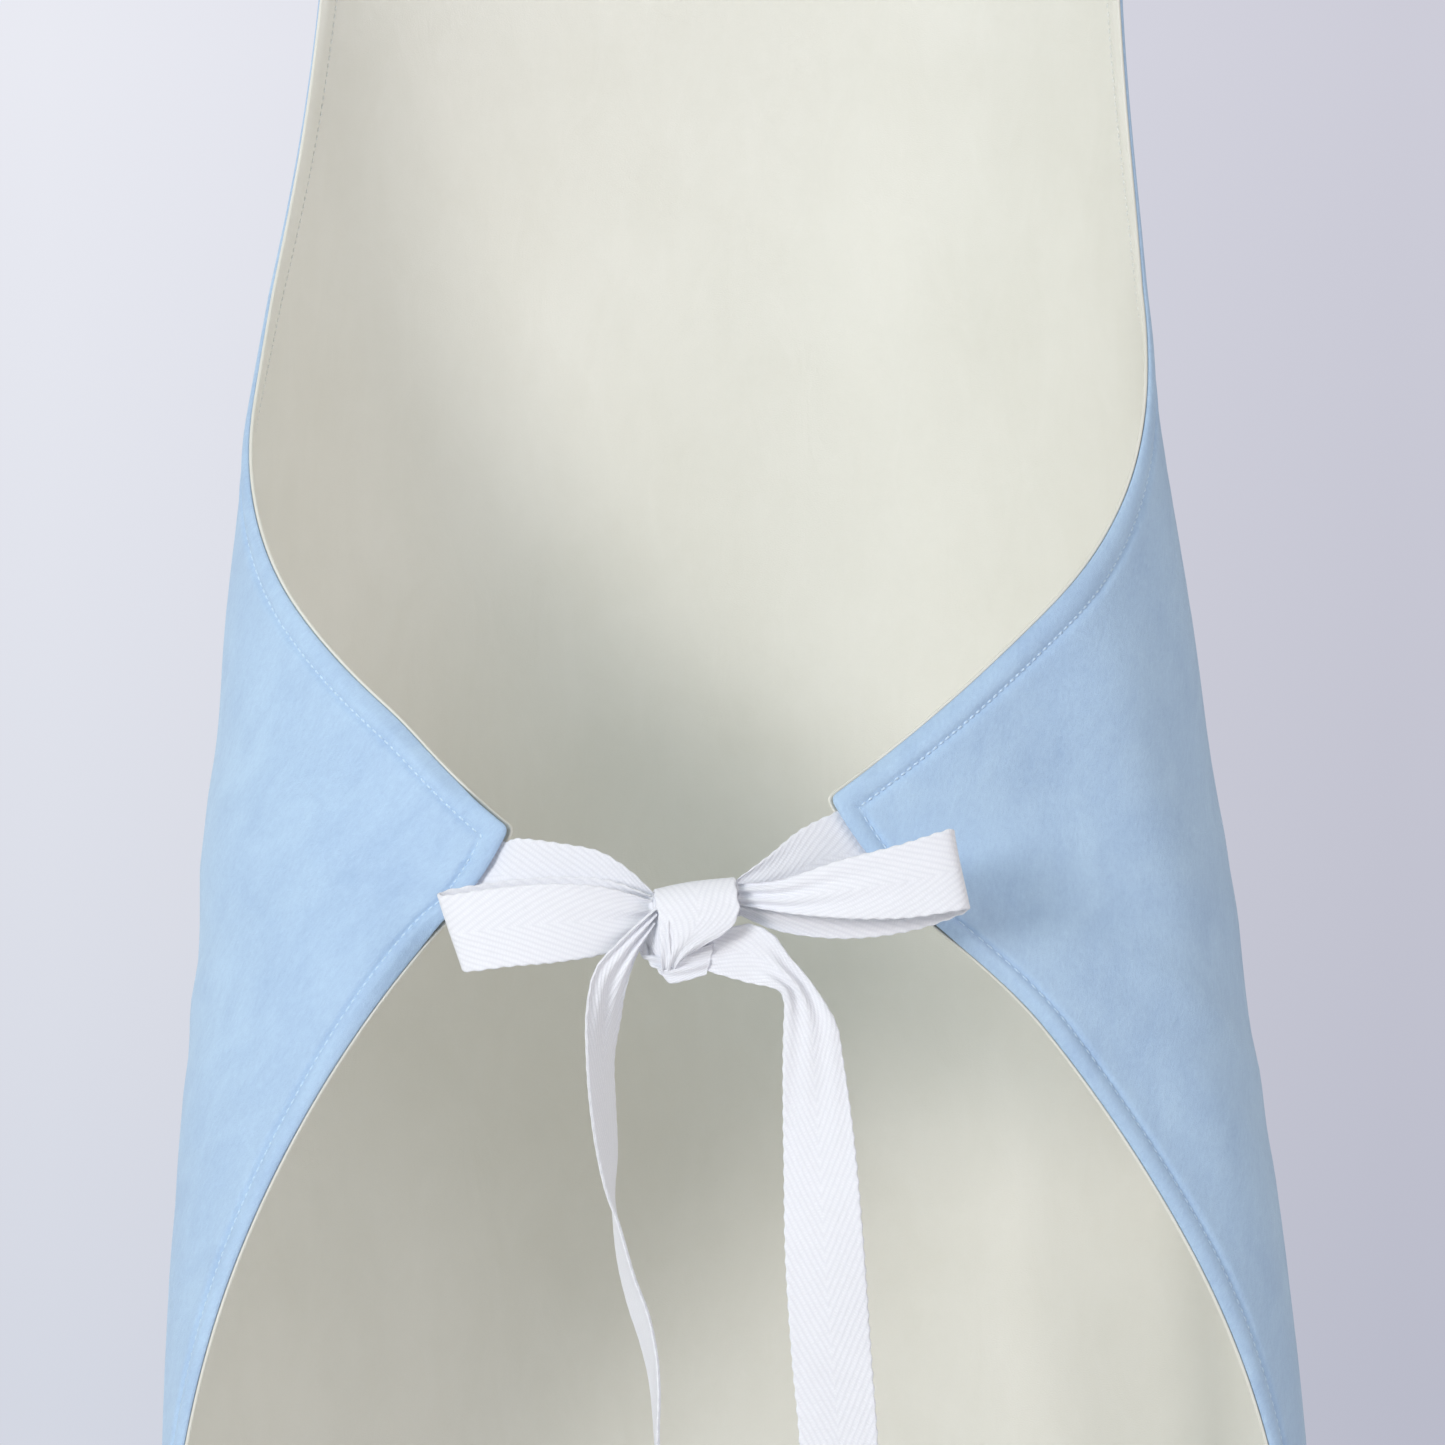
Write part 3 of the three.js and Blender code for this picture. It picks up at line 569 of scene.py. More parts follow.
@dataclass(frozen=True)
class Wearer:
    """The shape that the cloth wraps, in millimetres: its sections at heights below the nape."""

    stations: tuple = (
        (120, 150, 98, 80), (250, 150, 132, 80), (330, 150, 130, 86), (440, 164, 124, 98),
        (540, 176, 122, 108), (640, 186, 126, 108), (760, 193, 132, 104), (1060, 202, 142, 98),
    )
    axis_y: float = -60.0
    roundness: float = 0.92
    cloth_turn: float = -12.5
    lean_start: float = 300.0
    lean_end: float = 800.0
    lean_top: float = 4.5
    lean_slope: float = -0.0285
    snug: tuple = (2.8, 1.0, 0.0)
    depth_range: tuple = (100.0, 1100.0)
    depth_step: float = 4.0
    half_round: float = 620.0
    round_step: float = 2.0
    section_points: int = 361
    probe: float = 5.0

    def sizes(self, depths: Array) -> Array:
        """Half width, front depth and back depth at each depth, on smooth curves."""
        table = np.array(self.stations, float)
        at, values = table[:, 0], table[:, 1:] - self.snug
        slope = np.empty_like(values)
        slope[1:-1] = (values[2:] - values[:-2]) / (at[2:] - at[:-2])[:, None]
        slope[0] = (values[1] - values[0]) / (at[1] - at[0])
        slope[-1] = (values[-1] - values[-2]) / (at[-1] - at[-2])
        depths = np.clip(depths, at[0], at[-1])
        i = np.clip(np.searchsorted(at, depths) - 1, 0, len(at) - 2)
        h = (at[i + 1] - at[i])[:, None]
        t = ((depths - at[i]) / h[:, 0])[:, None]
        low = (2 * t ** 3 - 3 * t ** 2 + 1) * values[i]
        high = (3 * t ** 2 - 2 * t ** 3) * values[i + 1]
        turns = (t ** 3 - 2 * t ** 2 + t) * h * slope[i] + (t ** 3 - t ** 2) * h * slope[i + 1]
        return low + high + turns

    def __post_init__(self) -> None:
        """Lays out the sections on an even grid of depth and distance round the body."""
        depths = np.arange(*self.depth_range, self.depth_step)
        around = np.arange(0.0, self.half_round, self.round_step)
        angle = np.linspace(0, math.pi, self.section_points)
        c, s = np.cos(angle), np.sin(angle)
        grid = np.empty((len(depths), len(around), 2))
        for row, (width, front, back) in enumerate(self.sizes(depths)):
            x = width * np.abs(s) ** self.roundness
            y = self.axis_y - np.where(c > 0, front, back) * np.sign(c) * np.abs(c) ** self.roundness
            length = np.concatenate([[0], np.cumsum(np.hypot(np.diff(x), np.diff(y)))])
            grid[row, :, 0] = np.interp(around, length, x)
            grid[row, :, 1] = np.interp(around, length, y)
        object.__setattr__(self, "grid", grid)

    def point(self, s: Array, z: Array) -> Array:
        """The points s round the body from the cloth's centre front, at heights z."""
        turned = s + self.cloth_turn
        last_row, last_column = self.grid.shape[0] - 1.001, self.grid.shape[1] - 1.001
        rows = np.clip((-z - self.depth_range[0]) / self.depth_step, 0, last_row)
        columns = np.clip(np.abs(turned) / self.round_step, 0, last_column)
        i, j = rows.astype(int), columns.astype(int)
        a, b = (rows - i)[:, None], (columns - j)[:, None]
        g = self.grid
        above = (1 - b) * g[i, j] + b * g[i, j + 1]
        below = (1 - b) * g[i + 1, j] + b * g[i + 1, j + 1]
        flat = (1 - a) * above + a * below
        leaning = np.clip(-z, self.lean_start, self.lean_end) - self.lean_start
        lean = self.lean_top + self.lean_slope * leaning
        side = np.where(turned < 0, -1.0, 1.0)
        return np.stack([side * flat[:, 0] + lean, flat[:, 1], z], axis=1)

    def outward(self, s: Array, z: Array) -> Array:
        """The directions straight out of the body."""
        across = self.point(s + self.probe, z) - self.point(s - self.probe, z)
        down = self.point(s, z - self.probe) - self.point(s, z + self.probe)
        return unit(np.cross(down, across))


CORNER_CLEARANCE = 0.3
AREA_STEP = 3.0


@dataclass(frozen=True)
class Cut:
    """The flat cut of the gown, in millimetres: distance from the centre front, and height."""

    bib_top: float = -140.0
    neck_scoop: float = 35.0
    bib_half_width: float = 150.0
    ear_half_span: float = 397.0
    ear_drop: float = 332.0
    ear_end_height: float = 34.0
    ear_end_slant: float = 10.0
    skirt_half_width: float = 272.0
    length: float = 900.0
    hem_radius: float = 60.0
    rounding: float = 3.0
    armhole_top: tuple = (25.0, 0.45)
    armhole_low: tuple = (162.0, 0.71)
    under_ear: tuple = (68.0, 90.0)
    side_share: float = 0.47
    curve_points: int = 400
    corner_points: int = 6

    @property
    def ear_top(self) -> Array:
        """The ear's upper corner."""
        return np.array([self.ear_half_span, self.bib_top - self.ear_drop])

    @property
    def ear_low(self) -> Array:
        """The ear's lower corner."""
        drop = math.sqrt(self.ear_end_height ** 2 - self.ear_end_slant ** 2)
        return self.ear_top - np.array([self.ear_end_slant, drop])

    def stretches(self) -> list:
        """The whole edge, clockwise from the bib's right corner, as stretches between sharp corners."""
        hem_z = self.bib_top - self.length
        side_end = np.array([self.skirt_half_width, hem_z + self.hem_radius])
        u = np.linspace(0, 1, self.curve_points)
        across = 2 * u - 1
        neck = np.stack([across * self.bib_half_width, self.neckline(across)], 1)
        armhole = bezier(
            (self.bib_half_width, self.bib_top),
            (self.bib_half_width + self.armhole_top[0], self.bib_top - self.armhole_top[1] * self.ear_drop),
            (self.ear_half_span - self.armhole_low[0], self.bib_top - self.armhole_low[1] * self.ear_drop),
            self.ear_top, u)
        ear_end = self.ear_top + u[:, None] * (self.ear_low - self.ear_top)
        low = self.ear_low
        turn_z = low[1] + self.side_share * (side_end[1] - low[1])
        side = bezier(low, low - self.under_ear, (self.skirt_half_width, turn_z), side_end, u)
        angle = u * math.pi / 2
        corner = side_end + self.hem_radius * np.stack([np.cos(angle) - 1, -np.sin(angle)], 1)
        hem = np.stack([corner[-1, 0] * (1 - u), np.full_like(u, hem_z)], 1)
        side = np.concatenate([side, corner[1:], hem[1:]])
        skirt = np.concatenate([side, mirrored(side)[1:]])
        return [neck, armhole, ear_end, skirt, mirrored(ear_end), mirrored(armhole)]

    def neckline(self, share: Array) -> Array:
        """The neckline's height at shares of the bib's half width."""
        return self.bib_top - self.neck_scoop * (1 - share ** 2)

    def line_inside(self, distance: float, step: float, rounding: float = 0.0) -> Array:
        """The closed line that runs a distance inside the edge.

        Args:
            distance: How far inside it runs; a negative distance is outside.
            step: How far apart its points are.
            rounding: How far from each sharp corner its rounding starts, or 0 for sharp corners.

        Returns:
            The line's points, clockwise.
        """
        samples = [resample(stretch, step) for stretch in self.stretches()]
        made = []
        for k, (points, along) in enumerate(samples):
            before, after = samples[k - 1][1][-1], samples[(k + 1) % len(samples)][1][0]
            start = distance * math.tan(turn_between(before, along[0]) / 2) + rounding
            end = distance * math.tan(turn_between(along[-1], after) / 2) + rounding
            length = np.linspace(0, step_total(points), len(points))
            clear = CORNER_CLEARANCE * step
            kept = (length > start + clear) & (length < length[-1] - end - clear)
            first, second = inward(before), inward(along[0])
            mitre = points[0] + distance * (first + second) / (1 + first @ second)
            if rounding:
                t = np.linspace(0, 1, self.corner_points)[:, None]
                made.append((1 - t) ** 2 * (mitre - before * rounding) + 2 * t * (1 - t) * mitre
                            + t ** 2 * (mitre + along[0] * rounding))
            else:
                made.append(mitre[None])
            made.append(points[kept] + distance * inward(along[kept]))
        return np.concatenate(made)

    def area(self) -> float:
        """The cut's flat area in square metres."""
        x, y = self.line_inside(0, AREA_STEP).T
        return abs(float(np.sum(x * np.roll(y, -1) - y * np.roll(x, -1)))) / 2 * MM * MM


def mirrored(line: Array) -> Array:
    """A stretch of the edge on the other side, in the order that it is met."""
    return line[::-1] * (-1, 1)


def inward(along: Array) -> Array:
    """The directions into the cloth from directions clockwise along its edge."""
    return np.stack([along[..., 1], -along[..., 0]], axis=-1)


def bezier(a: Sequence[float], b: Sequence[float], c: Sequence[float], d: Sequence[float],
           t: Array) -> Array:
    """Points of a cubic curve."""
    a, b, c, d = (np.array(p, float) for p in (a, b, c, d))
    t = t[:, None]
    return (1 - t) ** 3 * a + 3 * t * (1 - t) ** 2 * b + 3 * t ** 2 * (1 - t) * c + t ** 3 * d


def step_total(line: Array) -> float:
    """The length of a line of points."""
    return float(np.linalg.norm(np.diff(line, axis=0), axis=1).sum())


def resample(line: Array, step: float) -> tuple[Array, Array]:
    """Even points along a line, and the directions there."""
    length = np.concatenate([[0], np.cumsum(np.linalg.norm(np.diff(line, axis=0), axis=1))])
    count = max(2, int(round(length[-1] / step)) + 1)
    at = np.linspace(0, length[-1], count)
    points = np.stack([np.interp(at, length, line[:, k]) for k in range(line.shape[1])], axis=1)
    return points, unit(np.gradient(points, axis=0))


def turn_between(first: Array, second: Array) -> float:
    """The angle between two directions."""
    return math.acos(float(np.clip(first @ second, -1, 1)))


# ---- How the cloth hangs --------------------------------------------------------------------


@dataclass(frozen=True)
class Drape:
    """How far the hanging cloth stands off its even wrap round the body, in millimetres.

    A pair is where a change starts and where it is complete: distances from the centre front for a
    side, depths below the nape for a drop, and heights for a height. A place is a middle and a reach.
    """

    skirt_drop: tuple = (560.0, 1040.0)
    skirt_side: tuple = (90.0, 230.0)
    flute: float = 6.0
    flute_fall: float = 1.4
    front_share: float = 0.55
    wide_round: float = 33.0
    wide_bend: tuple = (0.5, 170.0)
    wide_phase: float = 0.6
    narrow_wave: tuple = (17.5, 260.0, 1.9)
    narrow_share: float = 0.38
    sway: float = 1.3
    sway_wave: tuple = (71.0, 117.0, 0.8)
    sway_down: tuple = (83.0, 0.3)
    sway_drop: tuple = (200.0, 420.0)
    ridge_height: float = 4.5
    ridge_place: tuple = (-290.0, 24.0)
    ridge_drop: tuple = (370.0, 450.0)
    ridge_end: tuple = (600.0, 800.0)
    right_gather: float = 12.0
    gather_side: tuple = (110.0, 330.0)
    gather_drop: tuple = (478.0, 545.0)
    right_rise: float = 3.2
    right_rise_side: tuple = (40.0, 260.0)
    hem_share: float = 0.4
    hem_drop: tuple = (800.0, 1040.0)
    right_sag: float = 4.5
    right_sag_place: tuple = (262.0, 42.0)
    right_sag_height: tuple = (-520.0, -450.0)
    left_rise: float = 3.8
    left_rise_side: tuple = (150.0, 260.0)
    left_rise_drop: tuple = (480.0, 620.0)
    left_sag: float = 4.5
    left_sag_side: tuple = (235.0, 300.0)
    left_fade: float = 0.5
    left_fade_side: tuple = (360.0, 400.0)
    left_drop: float = 8.0
    left_drop_side: tuple = (345.0, 400.0)
    left_sag_height: tuple = (-515.0, -480.0)
    ear: tuple = (392.0, -489.0)
    ear_wander: tuple = (0.06, 31.0)
    ear_turn: float = 0.05
    crease_height: float = 0.45
    crease_place: tuple = (120.0, 74.4)
    crease_ribs: tuple = (23.0, 37.0)
    crease_fan: tuple = (0.35, 0.45)
    fold_height: float = 1.3
    fold_place: tuple = (105.0, 80.0)
    fold_ribs: float = 10.5
    fold_turn: float = 0.33
    fold_fan: tuple = (-0.15, 0.5)
    neck_free: float = 125.0
    neck_sag: float = 5.0
    neck_fall: float = 1.5
    neck_depth: float = 170.0
    neck_fade: float = 38.0

    def slip(self, s: Array, z: Array) -> tuple[Array, Array]:
        """How far tying the bow has drawn the cloth round towards the front, and up."""
        side = np.abs(s)
        gather = self.right_gather * smooth(side, *self.gather_side) * smooth(-z, *self.gather_drop)
        hem = 1 - self.hem_share * smooth(-z, *self.hem_drop)
        rise = self.right_rise * smooth(side, *self.right_rise_side) * hem
        rise = rise - self.right_sag * bell(side, *self.right_sag_place) * smooth(z, *self.right_sag_height)
        fade = 1 - self.left_fade * smooth(side, *self.left_fade_side)
        sag = self.left_drop * smooth(side, *self.left_drop_side)
        sag = sag + self.left_sag * smooth(side, *self.left_sag_side) * fade
        left = self.left_rise * smooth(side, *self.left_rise_side) * (1 - smooth(-z, *self.left_rise_drop))
        left = left - sag * smooth(z, *self.left_sag_height)
        return np.where(s < 0, gather, 0.0), np.where(s < 0, rise, left)

    def offset(self, s: Array, z: Array) -> Array:
        """The distance out of the body that the folds add.

        Args:
            s: Distances round the body from the centre front.
            z: Heights.

        Returns:
            The distances, one for each point.
        """
        return self.folds(s, z) + self.swaying(s, z) + self.pulls(s, z) + self.neck(s, z)

    def folds(self, s: Array, z: Array) -> Array:
        """The flutes that the skirt falls into, wide ones with narrow ones on them."""
        fall = smooth(-z, *self.skirt_drop)
        loose = self.front_share + (1 - self.front_share) * smooth(np.abs(s), *self.skirt_side)
        bend, bend_down = self.wide_bend
        wide = np.cos(s / self.wide_round + bend * np.sin(z / bend_down) + self.wide_phase)
        narrow = np.cos(wave(s, z, self.narrow_wave))
        return fall ** self.flute_fall * loose * self.flute * (wide + self.narrow_share * narrow * fall)

    def swaying(self, s: Array, z: Array) -> Array:
        """The slow ripples of the whole cloth, and the ridge below the right armhole."""
        down, phase = self.sway_down
        sway = self.sway * np.sin(wave(s, z, self.sway_wave)) * np.sin(z / down + phase)
        ridge = self.ridge_height * bell(s, *self.ridge_place) * smooth(-z, *self.ridge_drop)
        return sway * smooth(-z, *self.sway_drop) + ridge * (1 - smooth(-z, *self.ridge_end))

    def pulls(self, s: Array, z: Array) -> Array:
        """Fine creases and broad folds that fan out of the ears, where the tapes pull."""
        x, y = np.abs(s) - self.ear[0], z - self.ear[1]
        r = np.hypot(x, y)
        wander, wander_reach = self.ear_wander
        angle = np.arctan2(-y, -x) + wander * np.sin(r / wander_reach)
        angle = angle + self.ear_turn * np.where(s > 0, 1.0, -1.0)
        coarse, fine = self.crease_ribs
        ribs = np.sin(coarse * angle) + 0.5 * np.sin(fine * angle + 1.0)
        creases = self.crease_height * bell(r, *self.crease_place) * ribs * bell(angle, *self.crease_fan)
        broad = -np.cos(self.fold_ribs * (angle + self.fold_turn)) * bell(angle, *self.fold_fan)
        return creases + self.fold_height * bell(r, *self.fold_place) * broad

    def neck(self, s: Array, z: Array) -> Array:
        """The neckline, which hangs a little free between its tapes."""
        free = np.clip(1 - (s / self.neck_free) ** 2, 0, 1)
        fade = np.exp(-np.clip(-z - self.neck_depth, 0, None) / self.neck_fade)
        return self.neck_sag * free ** self.neck_fall * fade


def wave(s: Array, z: Array, shape: Sequence[float]) -> Array:
    """The angle of a wave: its millimetres to the radian round and down the cloth, and its phase."""
    return s / shape[0] + z / shape[1] + shape[2]


class Hang:
    """Places points of the flat cloth on the wearer."""

    def __init__(self, wearer: Wearer, drape: Drape) -> None:
        """Keeps the wearer's shape and the drape."""
        self.wearer = wearer
        self.drape = drape

    def place(self, flat: Array, lift: Array | float) -> Array:
        """The points of the flat cloth in space, in millimetres.

        Args:
            flat: The points, as distances round the body and heights.
            lift: How far each is off the body.

        Returns:
            The points in space.
        """
        round_by, up_by = self.drape.slip(flat[:, 0], flat[:, 1])
        s, z = flat[:, 0] + round_by, flat[:, 1] + up_by
        out = np.broadcast_to(lift + self.drape.offset(s, z), s.shape)[:, None]
        return self.wearer.point(s, z) + self.wearer.outward(s, z) * out


# ---- Panels ---------------------------------------------------------------------------------


@dataclass(frozen=True)
class Layers:
    """The cloth's build-up off the body, in millimetres."""

    backing: float = 0.6
    face: float = 1.6
    gap: float = 0.3
    tape: float = 1.0
    tape_width: float = 25.0
    pocket_bend: float = 80.0
    stitch_inset: float = 7.0
    ear_side: tuple = (95.0, 40.0)
    ear_below: tuple = (70.0, 12.0)
    bib_side: tuple = (85.0, 40.0)
    bib_below: tuple = (80.0, 30.0)

    @property
    def face_inner(self) -> float:
        """Where the face's inner side lies off the body."""
        return self.backing + self.gap

    def pocket(self, flat: Array, cut: Cut) -> Array:
        """How far the face lifts to make room for the tape ends sewn in between."""
        side, z = np.abs(flat[:, 0]), flat[:, 1]
        ear = ramp(side, cut.ear_half_span, self.ear_side) * ramp(z, cut.ear_low[1], self.ear_below)
        bib = ramp(side, cut.bib_half_width, self.bib_side) * ramp(z, cut.bib_top, self.bib_below)
        room = self.tape + 2 * self.gap + self.tape_width ** 2 / (8 * self.pocket_bend)
        return room * np.maximum(ear, bib)


ROW_PITCH = 0.866
ROUNDING_LOSS = 0.6
FIRST_ROW = 0.6
SAME_POINT = 1e-5


@dataclass
class FlatMesh:
    """Triangles over the flat cut, finer towards its edge."""

    points: Array
    depth: Array
    triangles: list
    rim: int

    @classmethod
    def over(cls, cut: Cut, grow: float, depths: Sequence[float], step: float,
             spacing: float) -> "FlatMesh":
        """Meshes the cut.

        Args:
            cut: The cut.
            grow: How far the edge is moved out.
            depths: The distances from the edge that get a row of points.
            step: How far apart the points of a row are.
            spacing: How far apart the points of the middle are.

        Returns:
            The mesh, whose first points are its edge.
        """
        rows = [cut.line_inside(d - grow, step, max(cut.rounding - ROUNDING_LOSS * d, 0)) for d in depths]
        edge = rows[0]
        inner = cut.line_inside(depths[-1] - grow + FIRST_ROW * spacing, 3 * step)
        low, high = inner.min(axis=0), inner.max(axis=0)
        x, y = np.meshgrid(np.arange(low[0], high[0], spacing),
                           np.arange(low[1], high[1], spacing * ROW_PITCH))
        x = x + spacing / 2 * (np.arange(len(y)) % 2)[:, None]
        middle = np.stack([x.ravel(), y.ravel()], axis=1)
        middle = middle[inside_line(middle, inner)]
        points = np.concatenate([*rows, middle])
        depth = np.concatenate([np.full(len(row), d) for row, d in zip(rows, depths)]
                               + [np.full(len(middle), depths[-1] + spacing)])
        loop = [(i, (i + 1) % len(edge)) for i in range(len(edge))]
        places = [Vector(p) for p in points]
        _, _, faces, origins, _, _ = delaunay_2d_cdt(places, loop, [], 1, SAME_POINT)
        first = [group[0] for group in origins]
        corners = np.array([[first[i] for i in face] for face in faces])
        a, b, c = (points[corners[:, k]] for k in range(3))
        turn = (b[:, 0] - a[:, 0]) * (c[:, 1] - a[:, 1]) - (b[:, 1] - a[:, 1]) * (c[:, 0] - a[:, 0])
        corners[turn < 0] = corners[turn < 0][:, ::-1]
        return cls(points, depth, corners.tolist(), len(edge))


@dataclass
class Panels:
    """The velour face and the cream backing, stitched together round the edge."""

    cut: Cut
    layers: Layers
    hang: Hang
    depths: tuple = (0.0, 0.15, 0.45, 1.0, 1.8, 2.8, 3.8, 4.8, 5.7, 6.4, 7.0, 7.6, 8.4, 9.6, 11.5)
    step: float = 3.2
    spacing: float = 7.0
    face_grow: float = -0.25
    face_edge: float = 1.2
    closing: float = 3.0
    ear_mouth: tuple = (22.0, 12.0)
    ear_mouth_drop: tuple = (400.0, 440.0)
    bib_mouth: tuple = (42.0, 33.0)
    bib_corner: tuple = (4.5, 2.0)
    bib_mouth_height: tuple = (-230.0, -170.0)
    band_puff: float = 0.85
    band_place: tuple = (3.2, 2.5)
    inner_puff: float = 0.42
    inner_place: tuple = (9.6, 2.0)
    groove: float = 0.95
    groove_reach: float = 0.75
    roll: float = 0.55
    roll_place: tuple = (0.55, 0.7)
    roll_swell: float = 0.35
    back_edge: float = 0.7
    back_puff: float = 0.5
    back_band: tuple = (3.1, 2.3)
    back_groove: float = 0.25
    back_groove_reach: float = 0.8
    pitch: float = 3.0
    thread_outside: float = 0.42
    thread_inside: float = 0.08
    stitch_reach: tuple = (-1.15, -0.95, -0.45, 0.45, 0.95, 1.15)
    stitch_radius: tuple = (0.1, 0.27, 0.33, 0.33, 0.27, 0.1)
    stitch_dip: tuple = (-0.5, -0.2, 0.04, 0.04, -0.2, -0.5)
    stitch_sides: int = 6

    def build(self, finishes: Finishes) -> None:
        """Makes the two panels and their stitching."""
        face = self.face(finishes)
        backing = self.backing(finishes)
        area = self.cut.area()
        self.stitches("outer_stitches", "face_thread", finishes.face_thread, self.outside_lift, 1)
        self.stitches("inner_stitches", "backing_thread", finishes.back_thread, self.inside_lift, -1)

    def solid(self, name: str, flat: FlatMesh, outer: Array, inner: Array) -> Piece:
        """A closed thin piece between two lifts, which meet at its edge."""
        count = len(flat.points)
        points = np.concatenate([self.hang.place(flat.points, lift) for lift in (outer, inner)])
        keep = np.concatenate([np.arange(count), np.arange(flat.rim), count + np.arange(flat.rim, count)])
        under = [tuple(keep[count + i] for i in reversed(face)) for face in flat.triangles]
        used = np.concatenate([np.arange(count), count + np.arange(flat.rim, count)])
        new_number = np.full(2 * count, -1)
        new_number[used] = np.arange(len(used))
        faces = [*flat.triangles, *[tuple(int(new_number[i]) for i in face) for face in under]]
        place = np.concatenate([flat.points, flat.points])[used] * MM
        return Piece(name, points[used] * MM, faces, place)

    def face(self, finishes: Finishes) -> bpy.types.Object:
        """The velour, with a rounded edge and a soft welt outside its stitching."""
        flat = FlatMesh.over(self.cut, self.face_grow, self.depths, self.step, self.spacing)
        closed = 1 - bell(flat.depth, 0, self.closing) * (1 - self.opening(flat.points))
        pocket = self.layers.pocket(flat.points, self.cut) * closed
        middle = self.layers.face_inner + self.layers.face / 2 + pocket
        rounded = round_edge(flat.depth, self.face_edge)
        half = self.layers.face / 2 * rounded
        outer = middle + half + self.welt(flat.depth) * rounded
        inner = middle - half
        piece = self.solid("velour_face", flat, outer, inner)
        return piece.make(finishes.velour, Slot.VELOUR, "gown", "face_panel")

    def opening(self, flat: Array) -> Array:
        """How far the edge stays open, 1 where a tape comes out of it."""
        side, z, bib = np.abs(flat[:, 0]), flat[:, 1], self.cut.bib_half_width
        at_ear = ramp(side, self.cut.ear_half_span, self.ear_mouth) * smooth(-z, *self.ear_mouth_drop)
        at_bib = ramp(side, bib, self.bib_mouth) * (1 - ramp(side, bib, self.bib_corner))
        return np.maximum(at_ear, at_bib * smooth(z, *self.bib_mouth_height))

    def welt(self, depth: Array) -> Array:
        """The height that the stitching gives the outside, by distance from the edge."""
        puff = self.band_puff * bell(depth, *self.band_place)
        puff = puff + self.inner_puff * bell(depth, *self.inner_place)
        return puff - self.groove * bell(depth, self.layers.stitch_inset, self.groove_reach)

    def backing(self, finishes: Finishes) -> bpy.types.Object:
        """The backing, whose edge rolls out just past the velour's."""
        flat = FlatMesh.over(self.cut, self.roll, self.depths, self.step, self.spacing)
        rolled = bell(flat.depth, *self.roll_place)
        inside = flat.depth - self.roll
        puff = self.back_puff * bell(inside, *self.back_band)
        stitched = self.back_groove * bell(inside, self.layers.stitch_inset, self.back_groove_reach)
        middle = self.layers.backing / 2 + self.roll * rolled - puff + stitched
        half = (self.layers.backing / 2 + self.roll_swell * rolled) * round_edge(flat.depth, self.back_edge)
        piece = self.solid("film_backing", flat, middle + half, middle - half)
        return piece.make(finishes.backing, Slot.BACKING, "gown", "backing_panel")

    def outside_lift(self, flat: Array) -> Array:
        """Where the outer stitches lie off the body."""
        base = self.layers.face_inner + self.layers.face - self.groove + self.thread_outside
        return base + self.layers.pocket(flat, self.cut)

    def inside_lift(self, flat: Array) -> Array:
        """Where the inner stitches lie off the body."""
        return np.full(len(flat), self.thread_inside)

    def stitches(self, name: str, node: str, material: bpy.types.Material,
                 lift: Callable[[Array], Array], side: int) -> bpy.types.Object:
        """Separate lockstitches round the edge, which dip into the cloth at both ends.

        Args:
            name: The piece's name.
            node: The node that it stands for.
            material: The thread.
            lift: Gives the height of the groove off the body.
            side: 1 outside or -1 inside.

        Returns:
            The stitches, as one piece.
        """
        line = self.cut.line_inside(self.layers.stitch_inset, 1.0)
        line = np.concatenate([line, line[:1]])
        centre, along = resample(line, self.pitch)
        if side < 0:
            centre = (centre + np.roll(centre, 1, axis=0)) / 2
            centre, along = centre[1:], along[1:]
        reach, radius, dip = (np.array(values) for values in
                              (self.stitch_reach, self.stitch_radius, self.stitch_dip))
        angle = np.linspace(0, 2 * math.pi, self.stitch_sides, endpoint=False)
        sideways = inward(along)
        flat = (centre[:, None, None, :] + along[:, None, None, :] * reach[None, :, None, None]
                + sideways[:, None, None, :] * (radius[:, None] * np.cos(angle))[None, :, :, None])
        high = side * dip[None, :, None] + (radius[:, None] * np.sin(angle))[None]
        high = high + lift(centre)[:, None, None]
        count, ring = len(reach), len(angle)
        points = self.hang.place(flat.reshape(-1, 2), np.broadcast_to(high, flat.shape[:3]).ravel())
        block = count * ring
        one = closed_tube(count, ring)
        faces = [tuple(i + k * block for i in face) for k in range(len(centre)) for face in one]
        around = np.broadcast_to(np.arange(ring) / ring, (len(centre), count, ring))
        run = np.arange(len(centre))[:, None, None] * self.pitch * MM + reach[None, :, None] * MM
        place = np.stack([around, np.broadcast_to(run, around.shape)], axis=-1).reshape(-1, 2)
        return Piece(name, points * MM, faces, place).make(material, Slot.THREAD, "gown", node)


def round_edge(depth: Array, radius: float) -> Array:
    """The share of a layer's thickness at each distance from its rounded edge."""
    return np.sqrt(np.clip(1 - (1 - np.clip(depth / radius, 0, 1)) ** 2, 0, 1))


# ---- Tapes ----------------------------------------------------------------------------------


